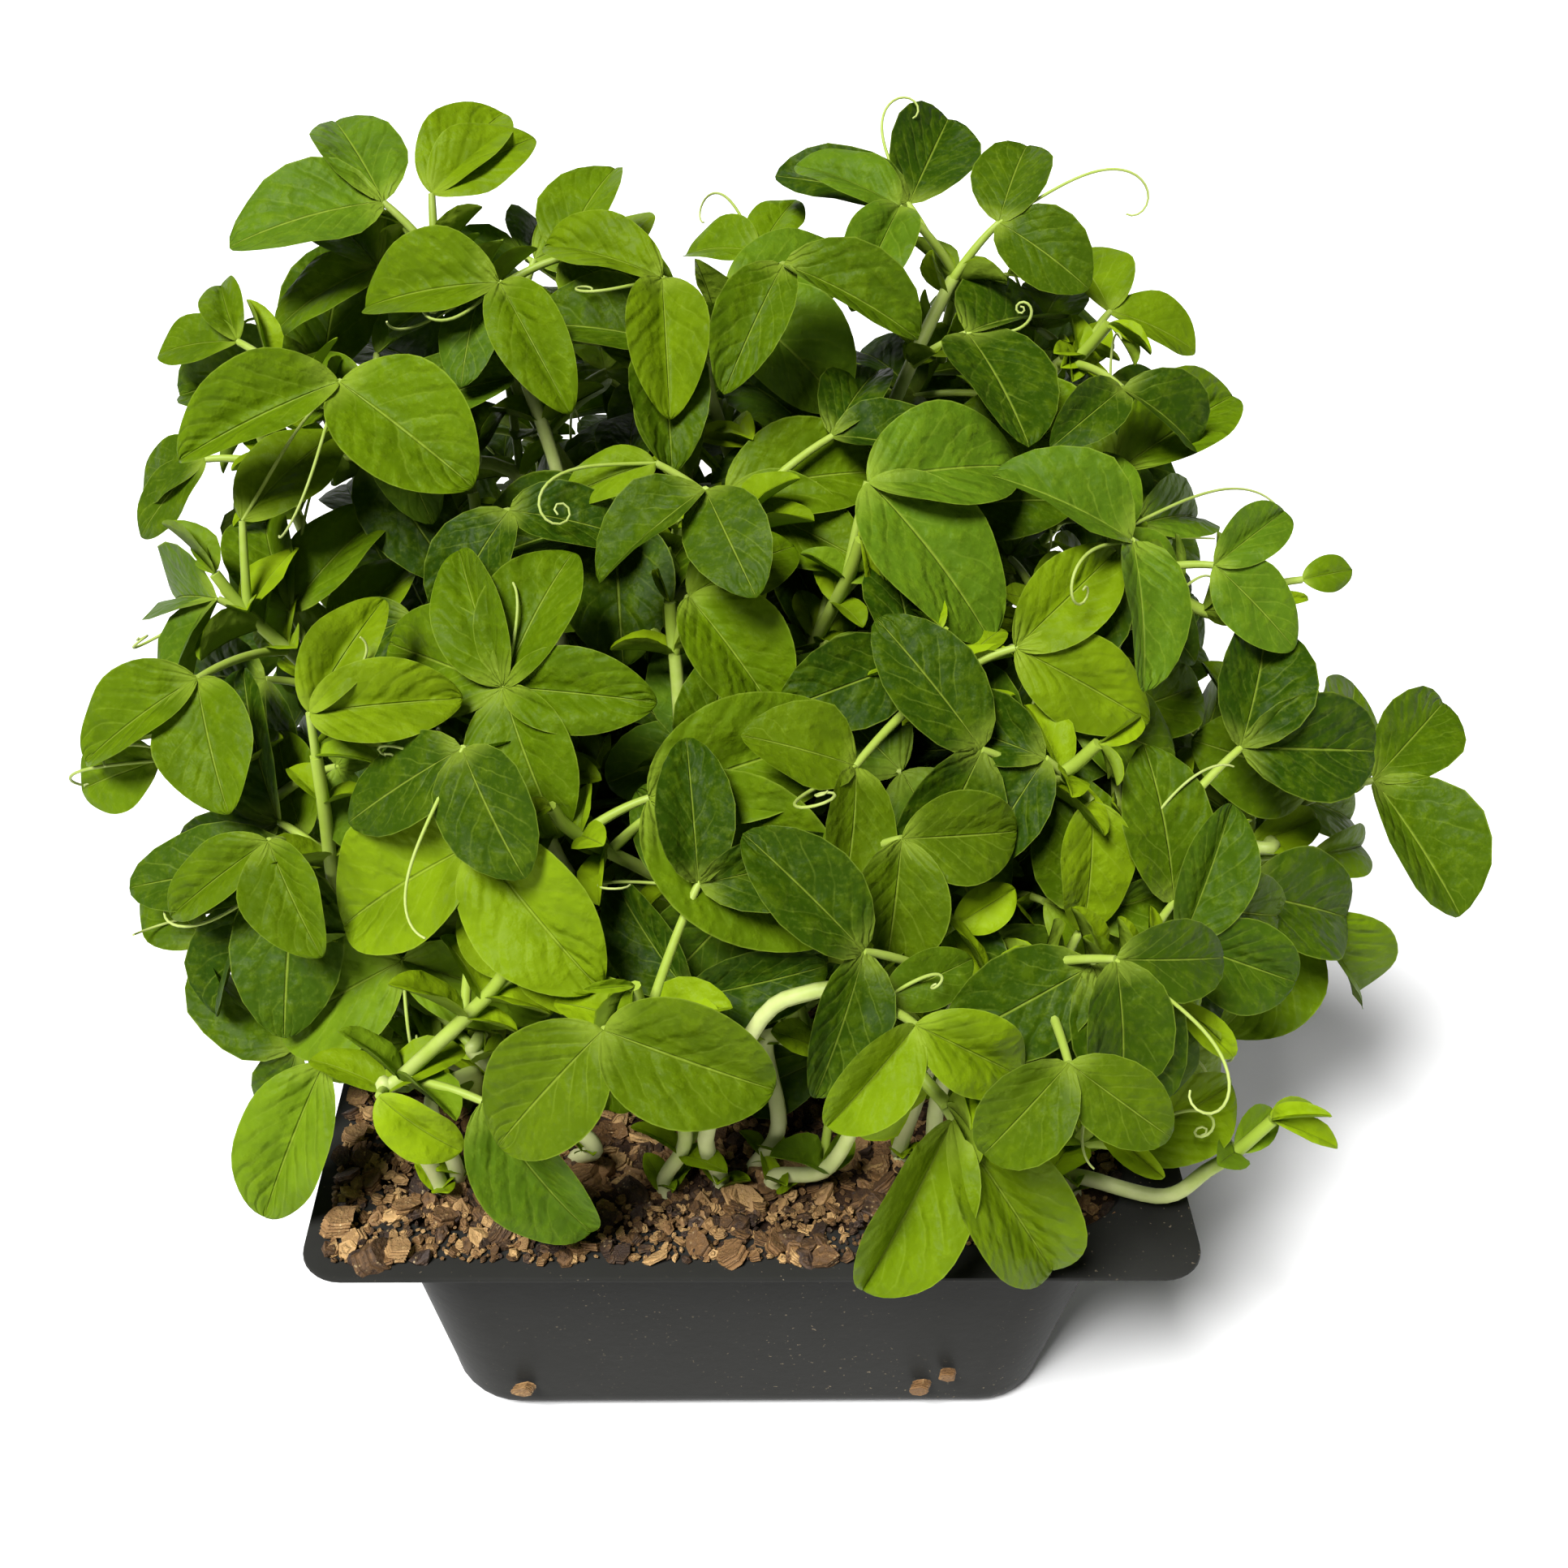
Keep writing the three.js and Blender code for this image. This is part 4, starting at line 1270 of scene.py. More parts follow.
def leaf_blank(name, rows, columns):
    """A flat pillow whose points know only where on a blade they are.

    Both of its faces are split along the same diagonals, so they never cross when bent.
    """
    mesh = bpy.data.meshes.new(name)
    places, faces = [(0.0, 0.0, 0.0)], []
    grid = {}
    for layer in (1, -1):
        for i in range(1, rows):
            u = 0.5 - 0.5 * math.cos(math.pi * i / rows)
            for j in range(columns + 1):
                margin = j in (0, columns)
                if margin and layer == -1:
                    grid[layer, i, j] = grid[1, i, j]
                    continue
                grid[layer, i, j] = len(places)
                places.append((u, 2 * j / columns - 1, 0 if margin else layer))
    places.append((1.0, 0.0, 0.0))
    tip = len(places) - 1
    for layer in (1, -1):
        for j in range(columns):
            corners = [(0, grid[layer, 1, j + 1], grid[layer, 1, j])]
            for i in range(1, rows - 1):
                a, b = grid[layer, i, j], grid[layer, i, j + 1]
                c, d = grid[layer, i + 1, j + 1], grid[layer, i + 1, j]
                left = j < columns // 2
                corners += [(a, b, c), (a, c, d)] if left else [(a, b, d), (b, c, d)]
            corners.append((grid[layer, rows - 1, j], grid[layer, rows - 1, j + 1], tip))
            faces += [face if layer == 1 else face[::-1] for face in corners]
    mesh.from_pydata([(0.0, 0.0, 0.0)] * len(places), [], faces)
    for index, key in enumerate(("u", "v", "upper")):
        layer = mesh.attributes.new(key, "FLOAT", "POINT")
        layer.data.foreach_set("value", [place[index] for place in places])
    margin = mesh.attributes.new("sharp_edge", "BOOLEAN", "EDGE")
    ends = [edge.vertices for edge in mesh.edges]
    margin.data.foreach_set("value", [places[a][2] == 0 and places[b][2] == 0 for a, b in ends])
    return bpy.data.objects.new(name, mesh)


def leaf_blanks():
    """A fine blank for the leaves that are seen and a plain one for the many small ones."""
    old = bpy.data.collections.get("leaf_blanks")
    if old:
        bpy.data.collections.remove(old)
    blanks = bpy.data.collections.new("leaf_blanks")
    blanks.objects.link(leaf_blank("blank_0_fine", 20, 10))
    blanks.objects.link(leaf_blank("blank_1_plain", 10, 4))
    return blanks


def blade_offset(n, thickness):
    """Where a blade's point lies from its hinge: the same shape as the CAD leaflet's."""
    u, v, upper = n.named("u"), n.named("v"), n.named("upper")
    length, width = n.named("length") * MM, n.named("width") * MM
    fold, droop, wave = n.named("fold"), n.named("droop"), n.named("wave")
    along, face, across = n.named("along", True), n.named("face", True), n.named("across", True)
    bend = droop * u
    reach = length * bend.sin() / droop
    drop = length * (1.0 - bend.cos()) / droop
    half = width * 0.5 * ((u**WIDEST * math.pi).sin().math("MAXIMUM", 0.0) ** BLUNTNESS)
    off = v.abs()
    pucker = (u * 5.0 + wave * 6.28 + v * 1.4).sin() * off * off * half * 0.12
    ripple = (u * 13.0 + wave * 19.0 + v * 2.0).sin() * off * off * half * 0.035
    cup = (wave - 0.4) * off * off * half * 0.4
    side = v * half * fold.cos()
    lift = off * (1.55 - off * 0.65) * half * fold.sin() + pucker + ripple + cup
    body = (1.0 - off * off) * thickness * 0.5
    normal = face * (bend.cos() * fold.cos()) + along * (bend.sin() * fold.cos())
    normal = normal - across * (v.math("SIGN") * fold.sin())
    forward = along * (reach + lift * bend.sin())
    upward = face * (lift * bend.cos() - drop)
    return forward + upward + across * side + normal * (upper * body)


def shoot_nodes():
    """Blades on the seats, and tubes along the threads."""
    n = Nodes("PeaShoot", {
        "Leaf blanks": ("Collection", None),
        "Blade thickness": ("Float", 0.0004),
        "Tube sides": ("Int", 8),
        "Leaf material": ("Material", None),
        "Stem material": ("Material", None),
    })
    is_blade = n.compare(n.named("kind"), BLADE - 0.5, BLADE + 0.5)
    parts = {"Geometry": n.input("Geometry"), "Selection": is_blade}
    parted = n.node("SeparateGeometry", parts, domain="POINT")
    blanks = n.node("CollectionInfo", {
        "Collection": n.input("Leaf blanks"),
        "Separate Children": True,
        "Reset Children": True,
    })
    seated = n.node("InstanceOnPoints", {
        "Points": n.out(parted, "Selection"),
        "Instance": n.out(blanks),
        "Pick Instance": True,
        "Instance Index": n.named("blank"),
    })
    real = n.node("RealizeInstances", {"Geometry": n.out(seated)})
    offset = blade_offset(n, n.input("Blade thickness"))
    placed = n.node("SetPosition", {"Geometry": n.out(real), "Offset": offset})

    curve = n.node("MeshToCurve", {"Mesh": n.out(parted, "Inverted")})
    ring = n.node("CurvePrimitiveCircle", {"Resolution": n.input("Tube sides"), "Radius": 1.0})
    tube = n.node("CurveToMesh", {
        "Curve": n.out(curve),
        "Profile Curve": n.out(ring),
        "Scale": n.named("girth") * MM,
        "Fill Caps": True,
    })
    joined = n.node("JoinGeometry")
    put(n.tree, n.out(placed), joined.inputs[0])
    put(n.tree, n.out(tube), joined.inputs[0])
    smooth = n.node("SetShadeSmooth", {"Geometry": n.out(joined)})
    whole = n.node("RealizeInstances", {"Geometry": n.out(smooth)})
    stems = n.node("SetMaterial", {"Geometry": n.out(whole), "Material": n.input("Stem material")})
    leaves = n.node("SetMaterial", {
        "Geometry": n.out(stems),
        "Selection": is_blade,
        "Material": n.input("Leaf material"),
    })
    n.finish(n.out(leaves))
    return n


# ---- medium and loose grains ----


def flake_mesh(seed, sides=7, layers=3):
    """An expanded flake: a stack of thin plates with an uneven outline."""
    draw = seeded(seed)
    outline = [1 + draw(-0.28, 0.22) for _ in range(sides)]
    slant = np.array([draw(-0.25, 0.25), draw(-0.25, 0.25)])
    bm = bmesh.new()
    layer_key = bm.verts.layers.float.new("layer")
    rings = []
    for step in range(2 * layers + 1):
        height = step / (2 * layers) - 0.5
        pinch = 0.5 if step % 2 == 0 else 0.445
        ring = []
        for k in range(sides):
            turn = 2 * math.pi * k / sides
            reach = pinch * outline[k] + draw(-0.02, 0.02)
            place = (reach * math.cos(turn) + slant[0] * height, reach * math.sin(turn) + slant[1] * height)
            vert = bm.verts.new((*place, height * 0.7 + draw(-0.02, 0.02)))
            vert[layer_key] = height
            ring.append(vert)
        rings.append(ring)
    for low, high in zip(rings, rings[1:]):
        for k in range(sides):
            bm.faces.new((low[k], low[(k + 1) % sides], high[(k + 1) % sides], high[k]))
    bm.faces.new(rings[0][::-1])
    bm.faces.new(rings[-1])
    return finished_mesh(bm, f"flake_{seed}")


def lump_mesh(seed):
    """An expanded flake with its layers worn off: an uneven, angular lump."""
    draw = seeded(seed)
    bm = bmesh.new()
    layer_key = bm.verts.layers.float.new("layer")
    bmesh.ops.create_icosphere(bm, subdivisions=1, radius=0.5)
    stretch = Vector((draw(0.85, 1.15), draw(0.75, 1.0), draw(0.6, 0.85)))
    for vert in bm.verts:
        vert.co = vert.co * stretch * draw(0.78, 1.18)
        vert[layer_key] = vert.co.z
    mesh = finished_mesh(bm, f"lump_{seed}")
    mesh.shade_smooth()
    mesh.set_sharp_from_angle(angle=math.radians(38))
    return mesh


def flake_set(lumps=6, layered=2):
    """The different flakes that the scatter picks from."""
    old = bpy.data.collections.get("flakes")
    if old:
        bpy.data.collections.remove(old)
    flakes = bpy.data.collections.new("flakes")
    meshes = [lump_mesh(index + 11) for index in range(lumps)]
    meshes += [flake_mesh(index + 3, layers=2) for index in range(layered)]
    for mesh in meshes:
        flakes.objects.link(bpy.data.objects.new(mesh.name, mesh))
    return flakes


def scatter_nodes(name):
    n = Nodes(name, {
        "Flakes": ("Collection", None),
        "Spacing": ("Float", 0.004),
        "Smallest": ("Float", 0.002),
        "Largest": ("Float", 0.005),
        "Seed": ("Int", 1),
        "Material": ("Material", None),
    })
    points = n.node("DistributePointsOnFaces", {
        "Mesh": n.input("Geometry"),
        "Distance Min": n.input("Spacing"),
        "Density Max": 3000000.0,
        "Seed": n.input("Seed"),
    }, distribute_method="POISSON")
    flakes = n.node("CollectionInfo", {
        "Collection": n.input("Flakes"),
        "Separate Children": True,
        "Reset Children": True,
    })
    smallest, largest = n.input("Smallest"), n.input("Largest")
    size = random_value(n, 0.0, 1.0, 1) ** 3.0 * (largest - smallest) + smallest
    shape = random_value(n, (0.8, 0.65, 0.4), (1.3, 1.05, 0.95), 2)
    seated = n.node("InstanceOnPoints", {
        "Points": n.out(points, "Points"),
        "Instance": n.out(flakes),
        "Pick Instance": True,
        "Rotation": random_value(n, (-0.7, -0.7, 0.0), (0.7, 0.7, 6.28), 3),
        "Scale": shape * size,
    })
    toned = n.node("StoreNamedAttribute", {
        "Geometry": n.out(seated),
        "Name": "grain_tone",
        "Value": random_value(n, 0.0, 1.0, 4),
    }, data_type="FLOAT", domain="INSTANCE")
    real = n.node("RealizeInstances", {"Geometry": n.out(toned)})
    n.finish(n.out(n.node("SetMaterial", {"Geometry": n.out(real), "Material": n.input("Material")})))
    return n


def random_value(n, low, high, seed):
    """A random number, or a random vector where low is one, for each point."""
    kind, first = ("FLOAT_VECTOR", 0) if isinstance(low, tuple) else ("FLOAT", 2)
    links = {first: low, first + 1: high, "Seed": seed}
    node = add_node(n.tree, "FunctionNodeRandomValue", links, data_type=kind)
    return Wire(n.tree, next(socket for socket in node.outputs if socket.enabled))


# ---- lofted square shells ----


def square_ring(half, corner, z, arc_steps=8, side_steps=6):
    """A square ring of half width `half` with round corners, at height z."""
    inner = half - corner
    points = []
    for quarter in range(4):
        turn = quarter * math.pi / 2
        for step in range(arc_steps + 1):
            angle = turn + step * math.pi / 2 / arc_steps
            centre = Matrix.Rotation(turn, 2) @ Vector((inner, inner))
            points.append((centre.x + corner * math.cos(angle), centre.y + corner * math.sin(angle), z))
        for step in range(1, side_steps):
            a = Matrix.Rotation(turn, 2) @ Vector((inner, inner + corner))
            b = Matrix.Rotation(turn, 2) @ Vector((-inner, inner + corner))
            share = step / side_steps
            points.append((a.x + (b.x - a.x) * share, a.y + (b.y - a.y) * share, z))
    return points


def loft_object(name, rings, smooth_angle=35):
    """A closed skin over rings of equal count, the first and last closed by a fan."""
    bm = bmesh.new()
    rows = new_rows(bm, rings)
    count = len(rows[0])
    for low, high in zip(rows, rows[1:]):
        for k in range(count):
            bm.faces.new((low[k], low[(k + 1) % count], high[(k + 1) % count], high[k]))
    for row, flip in ((rows[0], True), (rows[-1], False)):
        centre = bm.verts.new(sum((vert.co for vert in row), Vector()) / count)
        for k in range(count):
            corner = (row[k], row[(k + 1) % count], centre)
            bm.faces.new(corner[::-1] if flip else corner)
    bmesh.ops.recalc_face_normals(bm, faces=bm.faces)
    mesh = finished_mesh(bm, name)
    mesh.shade_smooth()
    mesh.set_sharp_from_angle(angle=math.radians(smooth_angle))
    return add_object(name, mesh)


def wall_at(z):
    """Half width of the wall's outside at height z."""
    top = RIM_WIDTH / 2 - RIM_OVERHANG
    return BASE_WIDTH / 2 + (top - BASE_WIDTH / 2) * z / TRAY_HEIGHT


def wall_rings(inset, floor, top, steps=6):
    rings = []
    for step in range(steps + 1):
        angle = step * math.pi / 2 / steps
        inward = BASE_EDGE * (1 - math.sin(angle))
        half = wall_at(floor + BASE_EDGE) - inset - inward
        rings.append((half, WALL_CORNER - inset - inward, floor + BASE_EDGE * (1 - math.cos(angle))))
    rings.append((wall_at(top) - inset, WALL_CORNER - inset, top))
    return rings


def tray_rings():
    """The sheet's outside from the floor up, round the rim, and down inside."""
    under = TRAY_HEIGHT - SHEET
    edge = RIM_WIDTH / 2
    outside = wall_rings(0, 0, under - 4.5)
    outside += [(wall_at(under - 4) + 0.5, WALL_CORNER, under - 4)]
    outside += [(wall_at(under) + 0.9, WALL_CORNER, under - 1)]
    outside += [(wall_at(under) + WALL_LIP, WALL_CORNER - 1, under)]
    rim = [(edge - 0.5, RIM_CORNER - 0.4, under), (edge - 0.1, RIM_CORNER, under + 0.15)]
    rim += [(edge, RIM_CORNER, under + SHEET / 2), (edge - 0.1, RIM_CORNER, TRAY_HEIGHT - 0.15)]
    rim += [(edge - 0.5, RIM_CORNER - 0.4, TRAY_HEIGHT)]
    turn_in = wall_at(TRAY_HEIGHT) - SHEET
    inside = [(turn_in + 0.9, WALL_CORNER - 1, TRAY_HEIGHT)]
    inside += [(turn_in + 0.25, WALL_CORNER - 1, TRAY_HEIGHT - 0.3)]
    inside += [(turn_in - 0.1, WALL_CORNER - SHEET, TRAY_HEIGHT - 1)]
    inside += wall_rings(SHEET, SHEET, TRAY_HEIGHT - 4)[::-1]
    return [square_ring(*ring) for ring in outside + rim + inside]


BED_STEPS = 16
BED_HEAP = 1.9


def bed_height(x, y):
    """How far the medium's surface rises and falls. It is heaped at the front and the left."""
    front = clamp((-30 - y) / 16) * clamp((30 - x) / 20)
    left = clamp((-36 - x) / 14) * clamp((30 - y) / 20)
    broad = 0.5 * math.sin(x / 9 + 1) * math.cos(y / 7)
    narrow = 0.35 * math.sin((x + y) / 4.3)
    return BED_HEAP * max(front, left) + broad + narrow


def bed_rings(half, corner):
    rings = []
    for step in range(BED_STEPS, 0, -1):
        share = step / BED_STEPS
        ring = square_ring(half * share, corner * share, MEDIUM_TOP - 0.6)
        rings.append([(x, y, z + bed_height(x, y) * (1 if share < 1 else 0)) for x, y, z in ring])
    return rings


def bed_patch(left, front, right, back, cell=3.0):
    """Rows of points that follow the medium's surface over a rectangle of it."""
    xs = np.arange(left, right + cell, cell)
    ys = np.arange(front, back + cell, cell)
    return [[(x, y, MEDIUM_TOP - 0.3 + bed_height(x, y)) for x in xs] for y in ys]


# ---- settings ----


def colour_property(label, about, default):
    return bpy.props.FloatVectorProperty(
        name=label, description=about, default=default, subtype="COLOR", size=3, min=0, max=1
    )


class TraySettings(bpy.types.PropertyGroup):
    """The black plastic tray."""

    plastic_dark: colour_property("Dark plastic", "Colour of the sheet", (0.0207, 0.0207, 0.01859))
    plastic_light: colour_property(
        "Light plastic", "Colour of its paler mottle", (0.02265, 0.02265, 0.020615)
    )
    dust: colour_property("Dust", "Colour of the dust on it", (0.3, 0.24, 0.16))


class MediumSettings(bpy.types.PropertyGroup):
    """The granular growing medium."""

    # Painted shade: the colour between and under the grains is partly wet medium and partly the shade there
    grain_wet_and_shade: colour_property("Wet grain", "Colour between and under the grains", (0.022, 0.009, 0.003))
    grain_brown: colour_property("Brown grain", "Colour of most grains", (0.2, 0.1, 0.03))
    grain_tan: colour_property("Tan grain", "Colour of the palest grains", (0.48, 0.29, 0.11))
    grain_glint: colour_property("Glint", "Colour of the bright faces", (0.8, 0.6, 0.3))
    coarse: bpy.props.FloatProperty(
        name="Coarse spacing", description="Distance between large grains", default=0.0037, unit="LENGTH"
    )
    fine: bpy.props.FloatProperty(
        name="Fine spacing", description="Distance between small grains", default=0.002, unit="LENGTH"
    )
    front: bpy.props.FloatProperty(
        name="Front spacing", description="Distance between grains in front", default=0.0014, unit="LENGTH"
    )
    spilled: bpy.props.FloatProperty(
        name="Spill spacing", description="Distance between spilled grains", default=0.0019, unit="LENGTH"
    )
    crumbs: bpy.props.FloatProperty(
        name="Crumb spacing", description="Distance between spilled crumbs", default=0.0007, unit="LENGTH"
    )


class ShootSettings(bpy.types.PropertyGroup):
    """The seedlings."""

    leaf_deep: colour_property("Deep green", "Colour of the darkest leaves", (0.02, 0.05, 0.001))
    leaf_mid: colour_property("Mid green", "Colour of most leaves", (0.102, 0.176, 0.0016))
    # The young green is also painted light on the leaves at the front and top of the crown
    leaf_young_and_lit: colour_property("Young green", "Colour of the youngest leaves", (0.3, 0.44, 0.006))
    leaf_blue: colour_property("Blue green", "Colour of the waxy leaves", (0.09, 0.18, 0.01))
    leaf_under: colour_property("Underside", "Colour of the undersides", (0.17, 0.24, 0.03))
    vein: colour_property("Vein", "Colour of the midrib and veins", (0.36, 0.48, 0.05))
    glow: colour_property("Glow", "Colour of light through a leaf", (0.28, 0.42, 0.01))
    stem_green: colour_property("Stem", "Colour of the upper stems", (0.34, 0.46, 0.05))
    stem_pale: colour_property("Stem base", "Colour of the stems at their base", (0.66, 0.68, 0.34))
    translucency: bpy.props.FloatProperty(
        name="Translucency", description="Share of light let through a blade", default=0.2, min=0, max=1
    )
    thickness: bpy.props.FloatProperty(
        name="Blade thickness", description="Thickness of a leaflet", default=0.0004, unit="LENGTH"
    )


class StageSettings(bpy.types.PropertyGroup):
    """Floor, light and camera."""

    floor: colour_property("Floor", "Colour of the floor", (0.9, 0.9, 0.9))
    sun: bpy.props.FloatProperty(name="Key light", description="Strength of the key light", default=6.5)
    softness: bpy.props.FloatProperty(
        name="Softness", description="Angle the key light spans", default=math.radians(22), unit="ROTATION"
    )
    sky: bpy.props.FloatProperty(name="Sky", description="Strength of the light all round", default=0.04)
    fill: bpy.props.FloatProperty(
        name="Fill", description="Power of the soft light from the right", default=1.2, unit="POWER"
    )
    lens: bpy.props.FloatProperty(name="Lens", description="Focal length on a 36 mm sensor", default=41.0)
    camera_rise: bpy.props.FloatProperty(
        name="Camera rise", description="How far it looks down", default=math.radians(35.9), unit="ROTATION"
    )


# ---- operators ----


class BuildTray(bpy.types.Operator):
    """Build the plastic tray"""

    bl_idname = "pea_tray.build_tray"
    bl_label = "Tray"

    def execute(self, context):
        tray = loft_object("tray_shell", tray_rings())
        tray.data.materials.append(plastic_material(context.scene.pea_tray))
        declare(tray, "tray")
        return {"FINISHED"}


class BuildMedium(bpy.types.Operator):
    """Fill the tray with the growing medium and spill some on the rim"""

    bl_idname = "pea_tray.build_medium"
    bl_label = "Growing medium"

    def execute(self, context):
        look = context.scene.pea_medium
        inset = SHEET + FIT
        sides = wall_rings(inset, SHEET + FIT, MEDIUM_TOP - 1.5)
        half, corner = wall_at(MEDIUM_TOP) - inset, WALL_CORNER - inset
        bed = loft_object("medium_bed", [square_ring(*ring) for ring in sides] + bed_rings(half, corner), 60)
        bed.data.materials.append(bed_material(look))
        declare(bed, "growing_medium")
        flakes = flake_set()
        material = grain_material(look)
        nodes = scatter_nodes("Grains")
        coarse, fine = bed_rings(half - 2.5, corner), bed_rings(half - 1, corner)
        front = bed_patch(1 - half, 1 - half, half - 1, -14)
        sheets = {
            "coarse_grains": (row_sheet(coarse, closed=True), look.coarse, 0.0024, 0.0088, 3),
            "fine_grains": (row_sheet(fine, closed=True), look.fine, 0.0012, 0.0032, 8),
            "front_grains": (row_sheet(front), look.front, 0.001, 0.0048, 4),
            "spilled_grains": (patch_sheet(spill_strips()), look.spilled, 0.0018, 0.005, 5),
            "spilled_crumbs": (patch_sheet(spill_strips()), look.crumbs, 0.0007, 0.0021, 9),
        }
        for name, (source, spacing, smallest, largest, seed) in sheets.items():
            values = {
                "Flakes": flakes, "Spacing": spacing, "Smallest": smallest,
                "Largest": largest, "Seed": seed, "Material": material,
            }
            declare(apply_nodes(source, nodes, values, name, [material]), "growing_medium")
        return {"FINISHED"}


def new_rows(bm, rows):
    return [[bm.verts.new([c * MM for c in point]) for point in row] for row in rows]


def row_sheet(rows, closed=False):
    """A sheet to scatter on, between rows of points, or between rings if they are closed."""
    bm = bmesh.new()
    rows = new_rows(bm, rows)
    count = len(rows[0])
    for outer, inner in zip(rows, rows[1:]):
        for k in range(count if closed else count - 1):
            after = (k + 1) % count
            bm.faces.new((outer[k], outer[after], inner[after], inner[k]))
    return add_object("sheet", finished_mesh(bm, "sheet"))


def patch_sheet(outlines):
    """Separate flat patches to scatter on."""
    bm = bmesh.new()
    for row in new_rows(bm, outlines):
        bm.faces.new(row)
    return add_object("sheet", finished_mesh(bm, "sheet"))


def spill_strips():
    """The parts of the rim that grains were spilled on: its left side and front left."""
    edge = RIM_WIDTH / 2
    wall = edge - RIM_OVERHANG - 1
    z = TRAY_HEIGHT + 0.5

    def strip(left, front, right, back):
        return [(left, front, z), (right, front, z), (right, back, z), (left, back, z)]

    return [
        strip(-edge + 3.6, -edge + 2.9, 14, -wall + 3.5),
        strip(14, -edge + 5.5, 32, -wall + 2),
        strip(-edge + 2.8, -wall + 3.5, -wall + 3.5, 20),
        strip(wall, -wall + 30, edge - 5, 0),
    ]


class BuildLooseGrains(bpy.types.Operator):
    """Shape the loose grains on the wall and the rim"""

    bl_idname = "pea_tray.build_loose_grains"
    bl_label = "Loose grains"

    def execute(self, context):
        material = grain_material(context.scene.pea_medium)
        names = sorted(name for name in frame["nodes"] if "grain" in name)
        for index, name in enumerate(names):
            mesh = flake_mesh(40 + index, sides=9, layers=5)
            upright = name.startswith("wall")
            if upright:
                mesh.transform(Matrix.Rotation(math.pi / 2, 4, "X"))
            fit_to_box(mesh, *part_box(name))
            tones = mesh.attributes.new("grain_tone", "FLOAT", "POINT")
            # Painted shade: the grains on the wall, which lies in shade under the crown, are painted darker
            # than those on the rim
            tone = (0.5 if upright else 0.66) + 0.04 * (index % 5)
            tones.data.foreach_set("value", [tone] * len(mesh.vertices))
            mesh.materials.append(material)
            declare(add_object(f"{name}_flake", mesh), name)
        return {"FINISHED"}


def fit_to_box(mesh, low, high):
    """Stretches a mesh until it fills the box."""
    for axis in range(3):
        places = [vert.co[axis] for vert in mesh.vertices]
        bottom, top = min(places), max(places)
        for vert in mesh.vertices:
            share = (vert.co[axis] - bottom) / (top - bottom)
            vert.co[axis] = low[axis] + (high[axis] - low[axis]) * share


class BuildShoots(bpy.types.Operator):
    """Grow the pea seedlings"""

    bl_idname = "pea_tray.build_shoots"
    bl_label = "Pea shoots"

    def execute(self, context):
        look = context.scene.pea_shoots
        leaf, stem = leaf_material(look), stem_material(look)
        nodes = shoot_nodes()
        values = {
            "Leaf blanks": leaf_blanks(),
            "Blade thickness": look.thickness,
            "Leaf material": leaf,
            "Stem material": stem,
        }
        shoots, space = grow_plants()
        draw = seeded(EXTRA_SEED)
        thicken(shoots, space, draw)
        for shoot in shoots:
            node = f"shoot_{shoot.number + 1:02d}"
            skeleton = shoot_skeleton(shoot, draw).mesh(node)
            source = add_object("skeleton", skeleton)
            plant = apply_nodes(source, nodes, values, f"pea_{node}", [leaf, stem])
            declare(plant, node)
        return {"FINISHED"}


def declare(piece, node):
    """The piece rides with the tray and stands for a CAD node, which it hides."""
    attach(piece, "root")
    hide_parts(node)


# The stage, in metres. The soft lights' shares are of the one from the right.
FLOOR_REACH = 3.0
FLOOR_GAP = 0.0002
KEY_FROM = (-0.36, -0.46, 0.9)
FILLS = {
    "fill": ((0.5, -0.7, 0.5), 0.3),
    "fill_right": ((0.95, 0.15, 0.35), 1),
    "fill_back": ((-0.3, 0.95, 0.4), 2),
}
FILL_SIZE = 0.8
WHITE = (1.0, 1.0, 1.0, 1.0)
LIT_POINT = (0, 0, 0.08)
CAMERA_PLACE = (-0.0049, -0.2239, 0.253)
CAMERA_TURN = math.radians(-2.37)
CAMERA_ROLL = math.radians(1.79)


class BuildStage(bpy.types.Operator):
    """Set up the floor, the light and the camera"""

    bl_idname = "pea_tray.build_stage"
    bl_label = "Stage"

    def execute(self, context):
        look = context.scene.pea_stage
        floor = floor_object()
        floor.data.materials.append(floor_material(look))
        context.scene.view_settings.view_transform = "Standard"
        sun = bpy.data.lights.new("key", "SUN")
        sun.energy, sun.angle = look.sun, look.softness
        key = add_object("key", sun)
        key.rotation_euler = Vector(KEY_FROM).to_track_quat("Z", "Y").to_euler()
        for name, (place, share) in FILLS.items():
            area_light(name, place, FILL_SIZE, look.fill * share)
        context.scene.world = studio_world(look)
        camera = bpy.data.cameras.new("camera")
        camera.lens, camera.sensor_width = look.lens, 36.0
        camera.clip_start = 0.01
        obj = add_object("camera", camera)
        obj.location = CAMERA_PLACE
        turn = Euler((math.pi / 2 - look.camera_rise, 0, CAMERA_TURN)).to_matrix()
        obj.rotation_euler = (turn @ Matrix.Rotation(CAMERA_ROLL, 3, "Z")).to_euler()
        context.scene.camera = obj
        return {"FINISHED"}


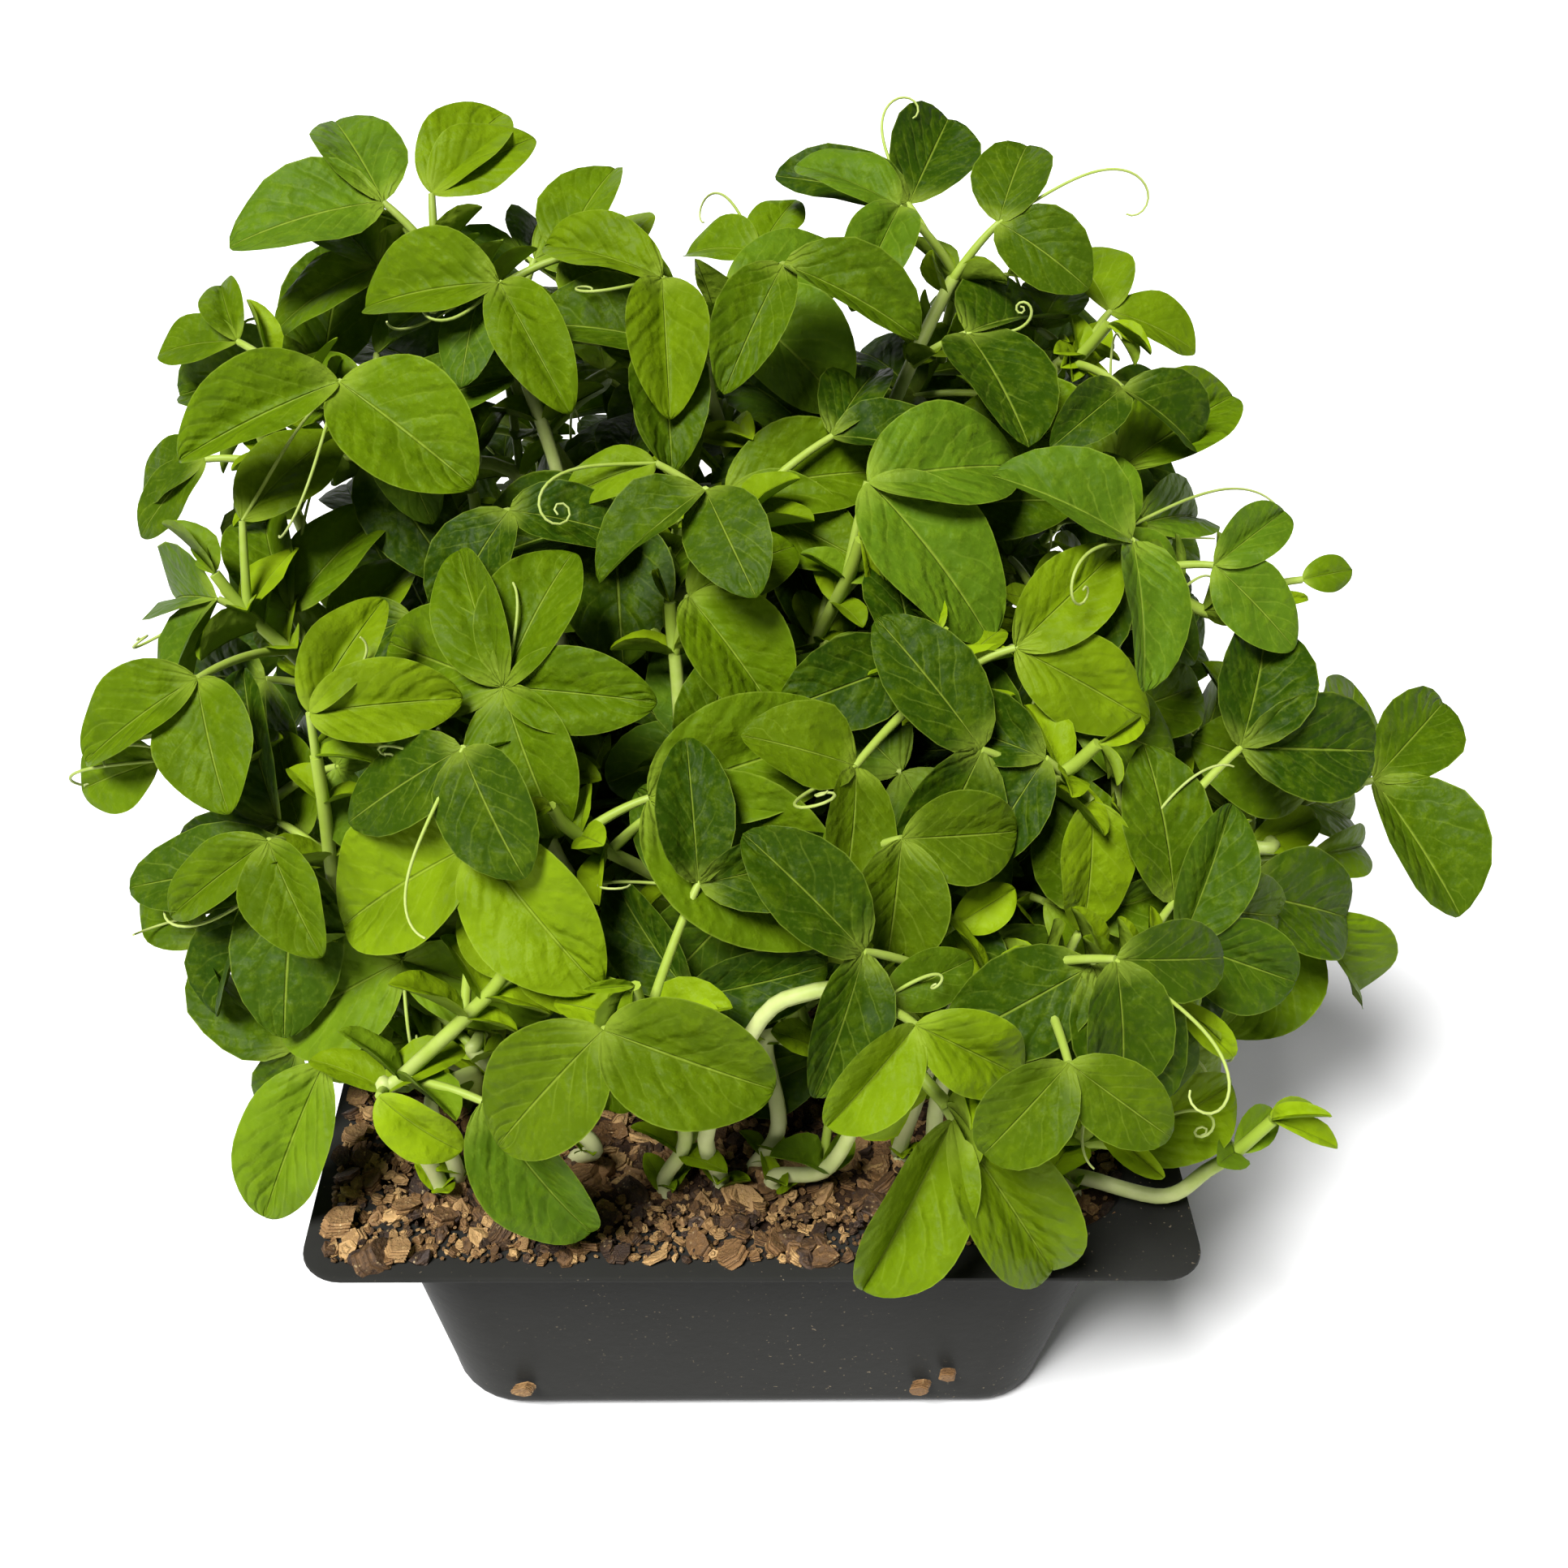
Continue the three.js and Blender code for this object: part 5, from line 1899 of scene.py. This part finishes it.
def studio_world(look):
    """Dim light all round, with a white backdrop where nothing stands."""
    world = bpy.data.worlds.new("studio")
    world.use_nodes = True
    tree = world.node_tree
    light = tree.nodes["Background"]
    light.inputs["Color"].default_value = WHITE
    light.inputs["Strength"].default_value = look.sky
    backdrop = add_node(tree, "ShaderNodeBackground", {"Color": WHITE})
    ray = add_node(tree, "ShaderNodeLightPath")
    outputs = (ray.outputs["Is Camera Ray"], light.outputs[0], backdrop.outputs[0])
    mix = add_node(tree, "ShaderNodeMixShader", {i: Wire(tree, out) for i, out in enumerate(outputs)})
    tree.links.new(mix.outputs[0], tree.nodes["World Output"].inputs["Surface"])
    return world


def floor_object():
    bm = bmesh.new()
    bmesh.ops.create_grid(bm, x_segments=8, y_segments=8, size=FLOOR_REACH)
    obj = add_object("floor", finished_mesh(bm, "floor"))
    obj.location.z = CAD_BOX[0][2] - FLOOR_GAP
    return obj


def area_light(name, place, size, energy):
    light = bpy.data.lights.new(name, "AREA")
    light.energy, light.size = energy, size
    obj = add_object(name, light)
    obj.location = place
    obj.rotation_euler = (Vector(LIT_POINT) - Vector(place)).to_track_quat("-Z", "Y").to_euler()


# ---- panel and registration ----

OPERATORS = (BuildTray, BuildMedium, BuildLooseGrains, BuildShoots, BuildStage)
SETTINGS = {
    "pea_tray": TraySettings,
    "pea_medium": MediumSettings,
    "pea_shoots": ShootSettings,
    "pea_stage": StageSettings,
}


class TrayPanel(bpy.types.Panel):
    """Lists the pieces of the tray and what can be changed on them"""

    bl_idname = "VIEW3D_PT_pea_tray"
    bl_label = "Pea Shoot Tray"
    bl_space_type = "VIEW_3D"
    bl_region_type = "UI"
    bl_category = "Pea Shoots"

    def draw(self, context):
        for operator in OPERATORS:
            self.layout.operator(operator.bl_idname)
        for key in SETTINGS:
            group = getattr(context.scene, key)
            for name in group.__annotations__:
                self.layout.prop(group, name)


def register():
    for cls in (*SETTINGS.values(), *OPERATORS, TrayPanel):
        bpy.utils.register_class(cls)
    for key, cls in SETTINGS.items():
        setattr(bpy.types.Scene, key, bpy.props.PointerProperty(type=cls))


def unregister():
    for key in SETTINGS:
        delattr(bpy.types.Scene, key)
    for cls in (TrayPanel, *reversed(OPERATORS), *SETTINGS.values()):
        bpy.utils.unregister_class(cls)


def main():
    register()
    bpy.ops.pea_tray.build_tray()
    bpy.ops.pea_tray.build_medium()
    bpy.ops.pea_tray.build_loose_grains()
    bpy.ops.pea_tray.build_shoots()
    bpy.ops.pea_tray.build_stage()


if __name__ == "__main__":
    main()
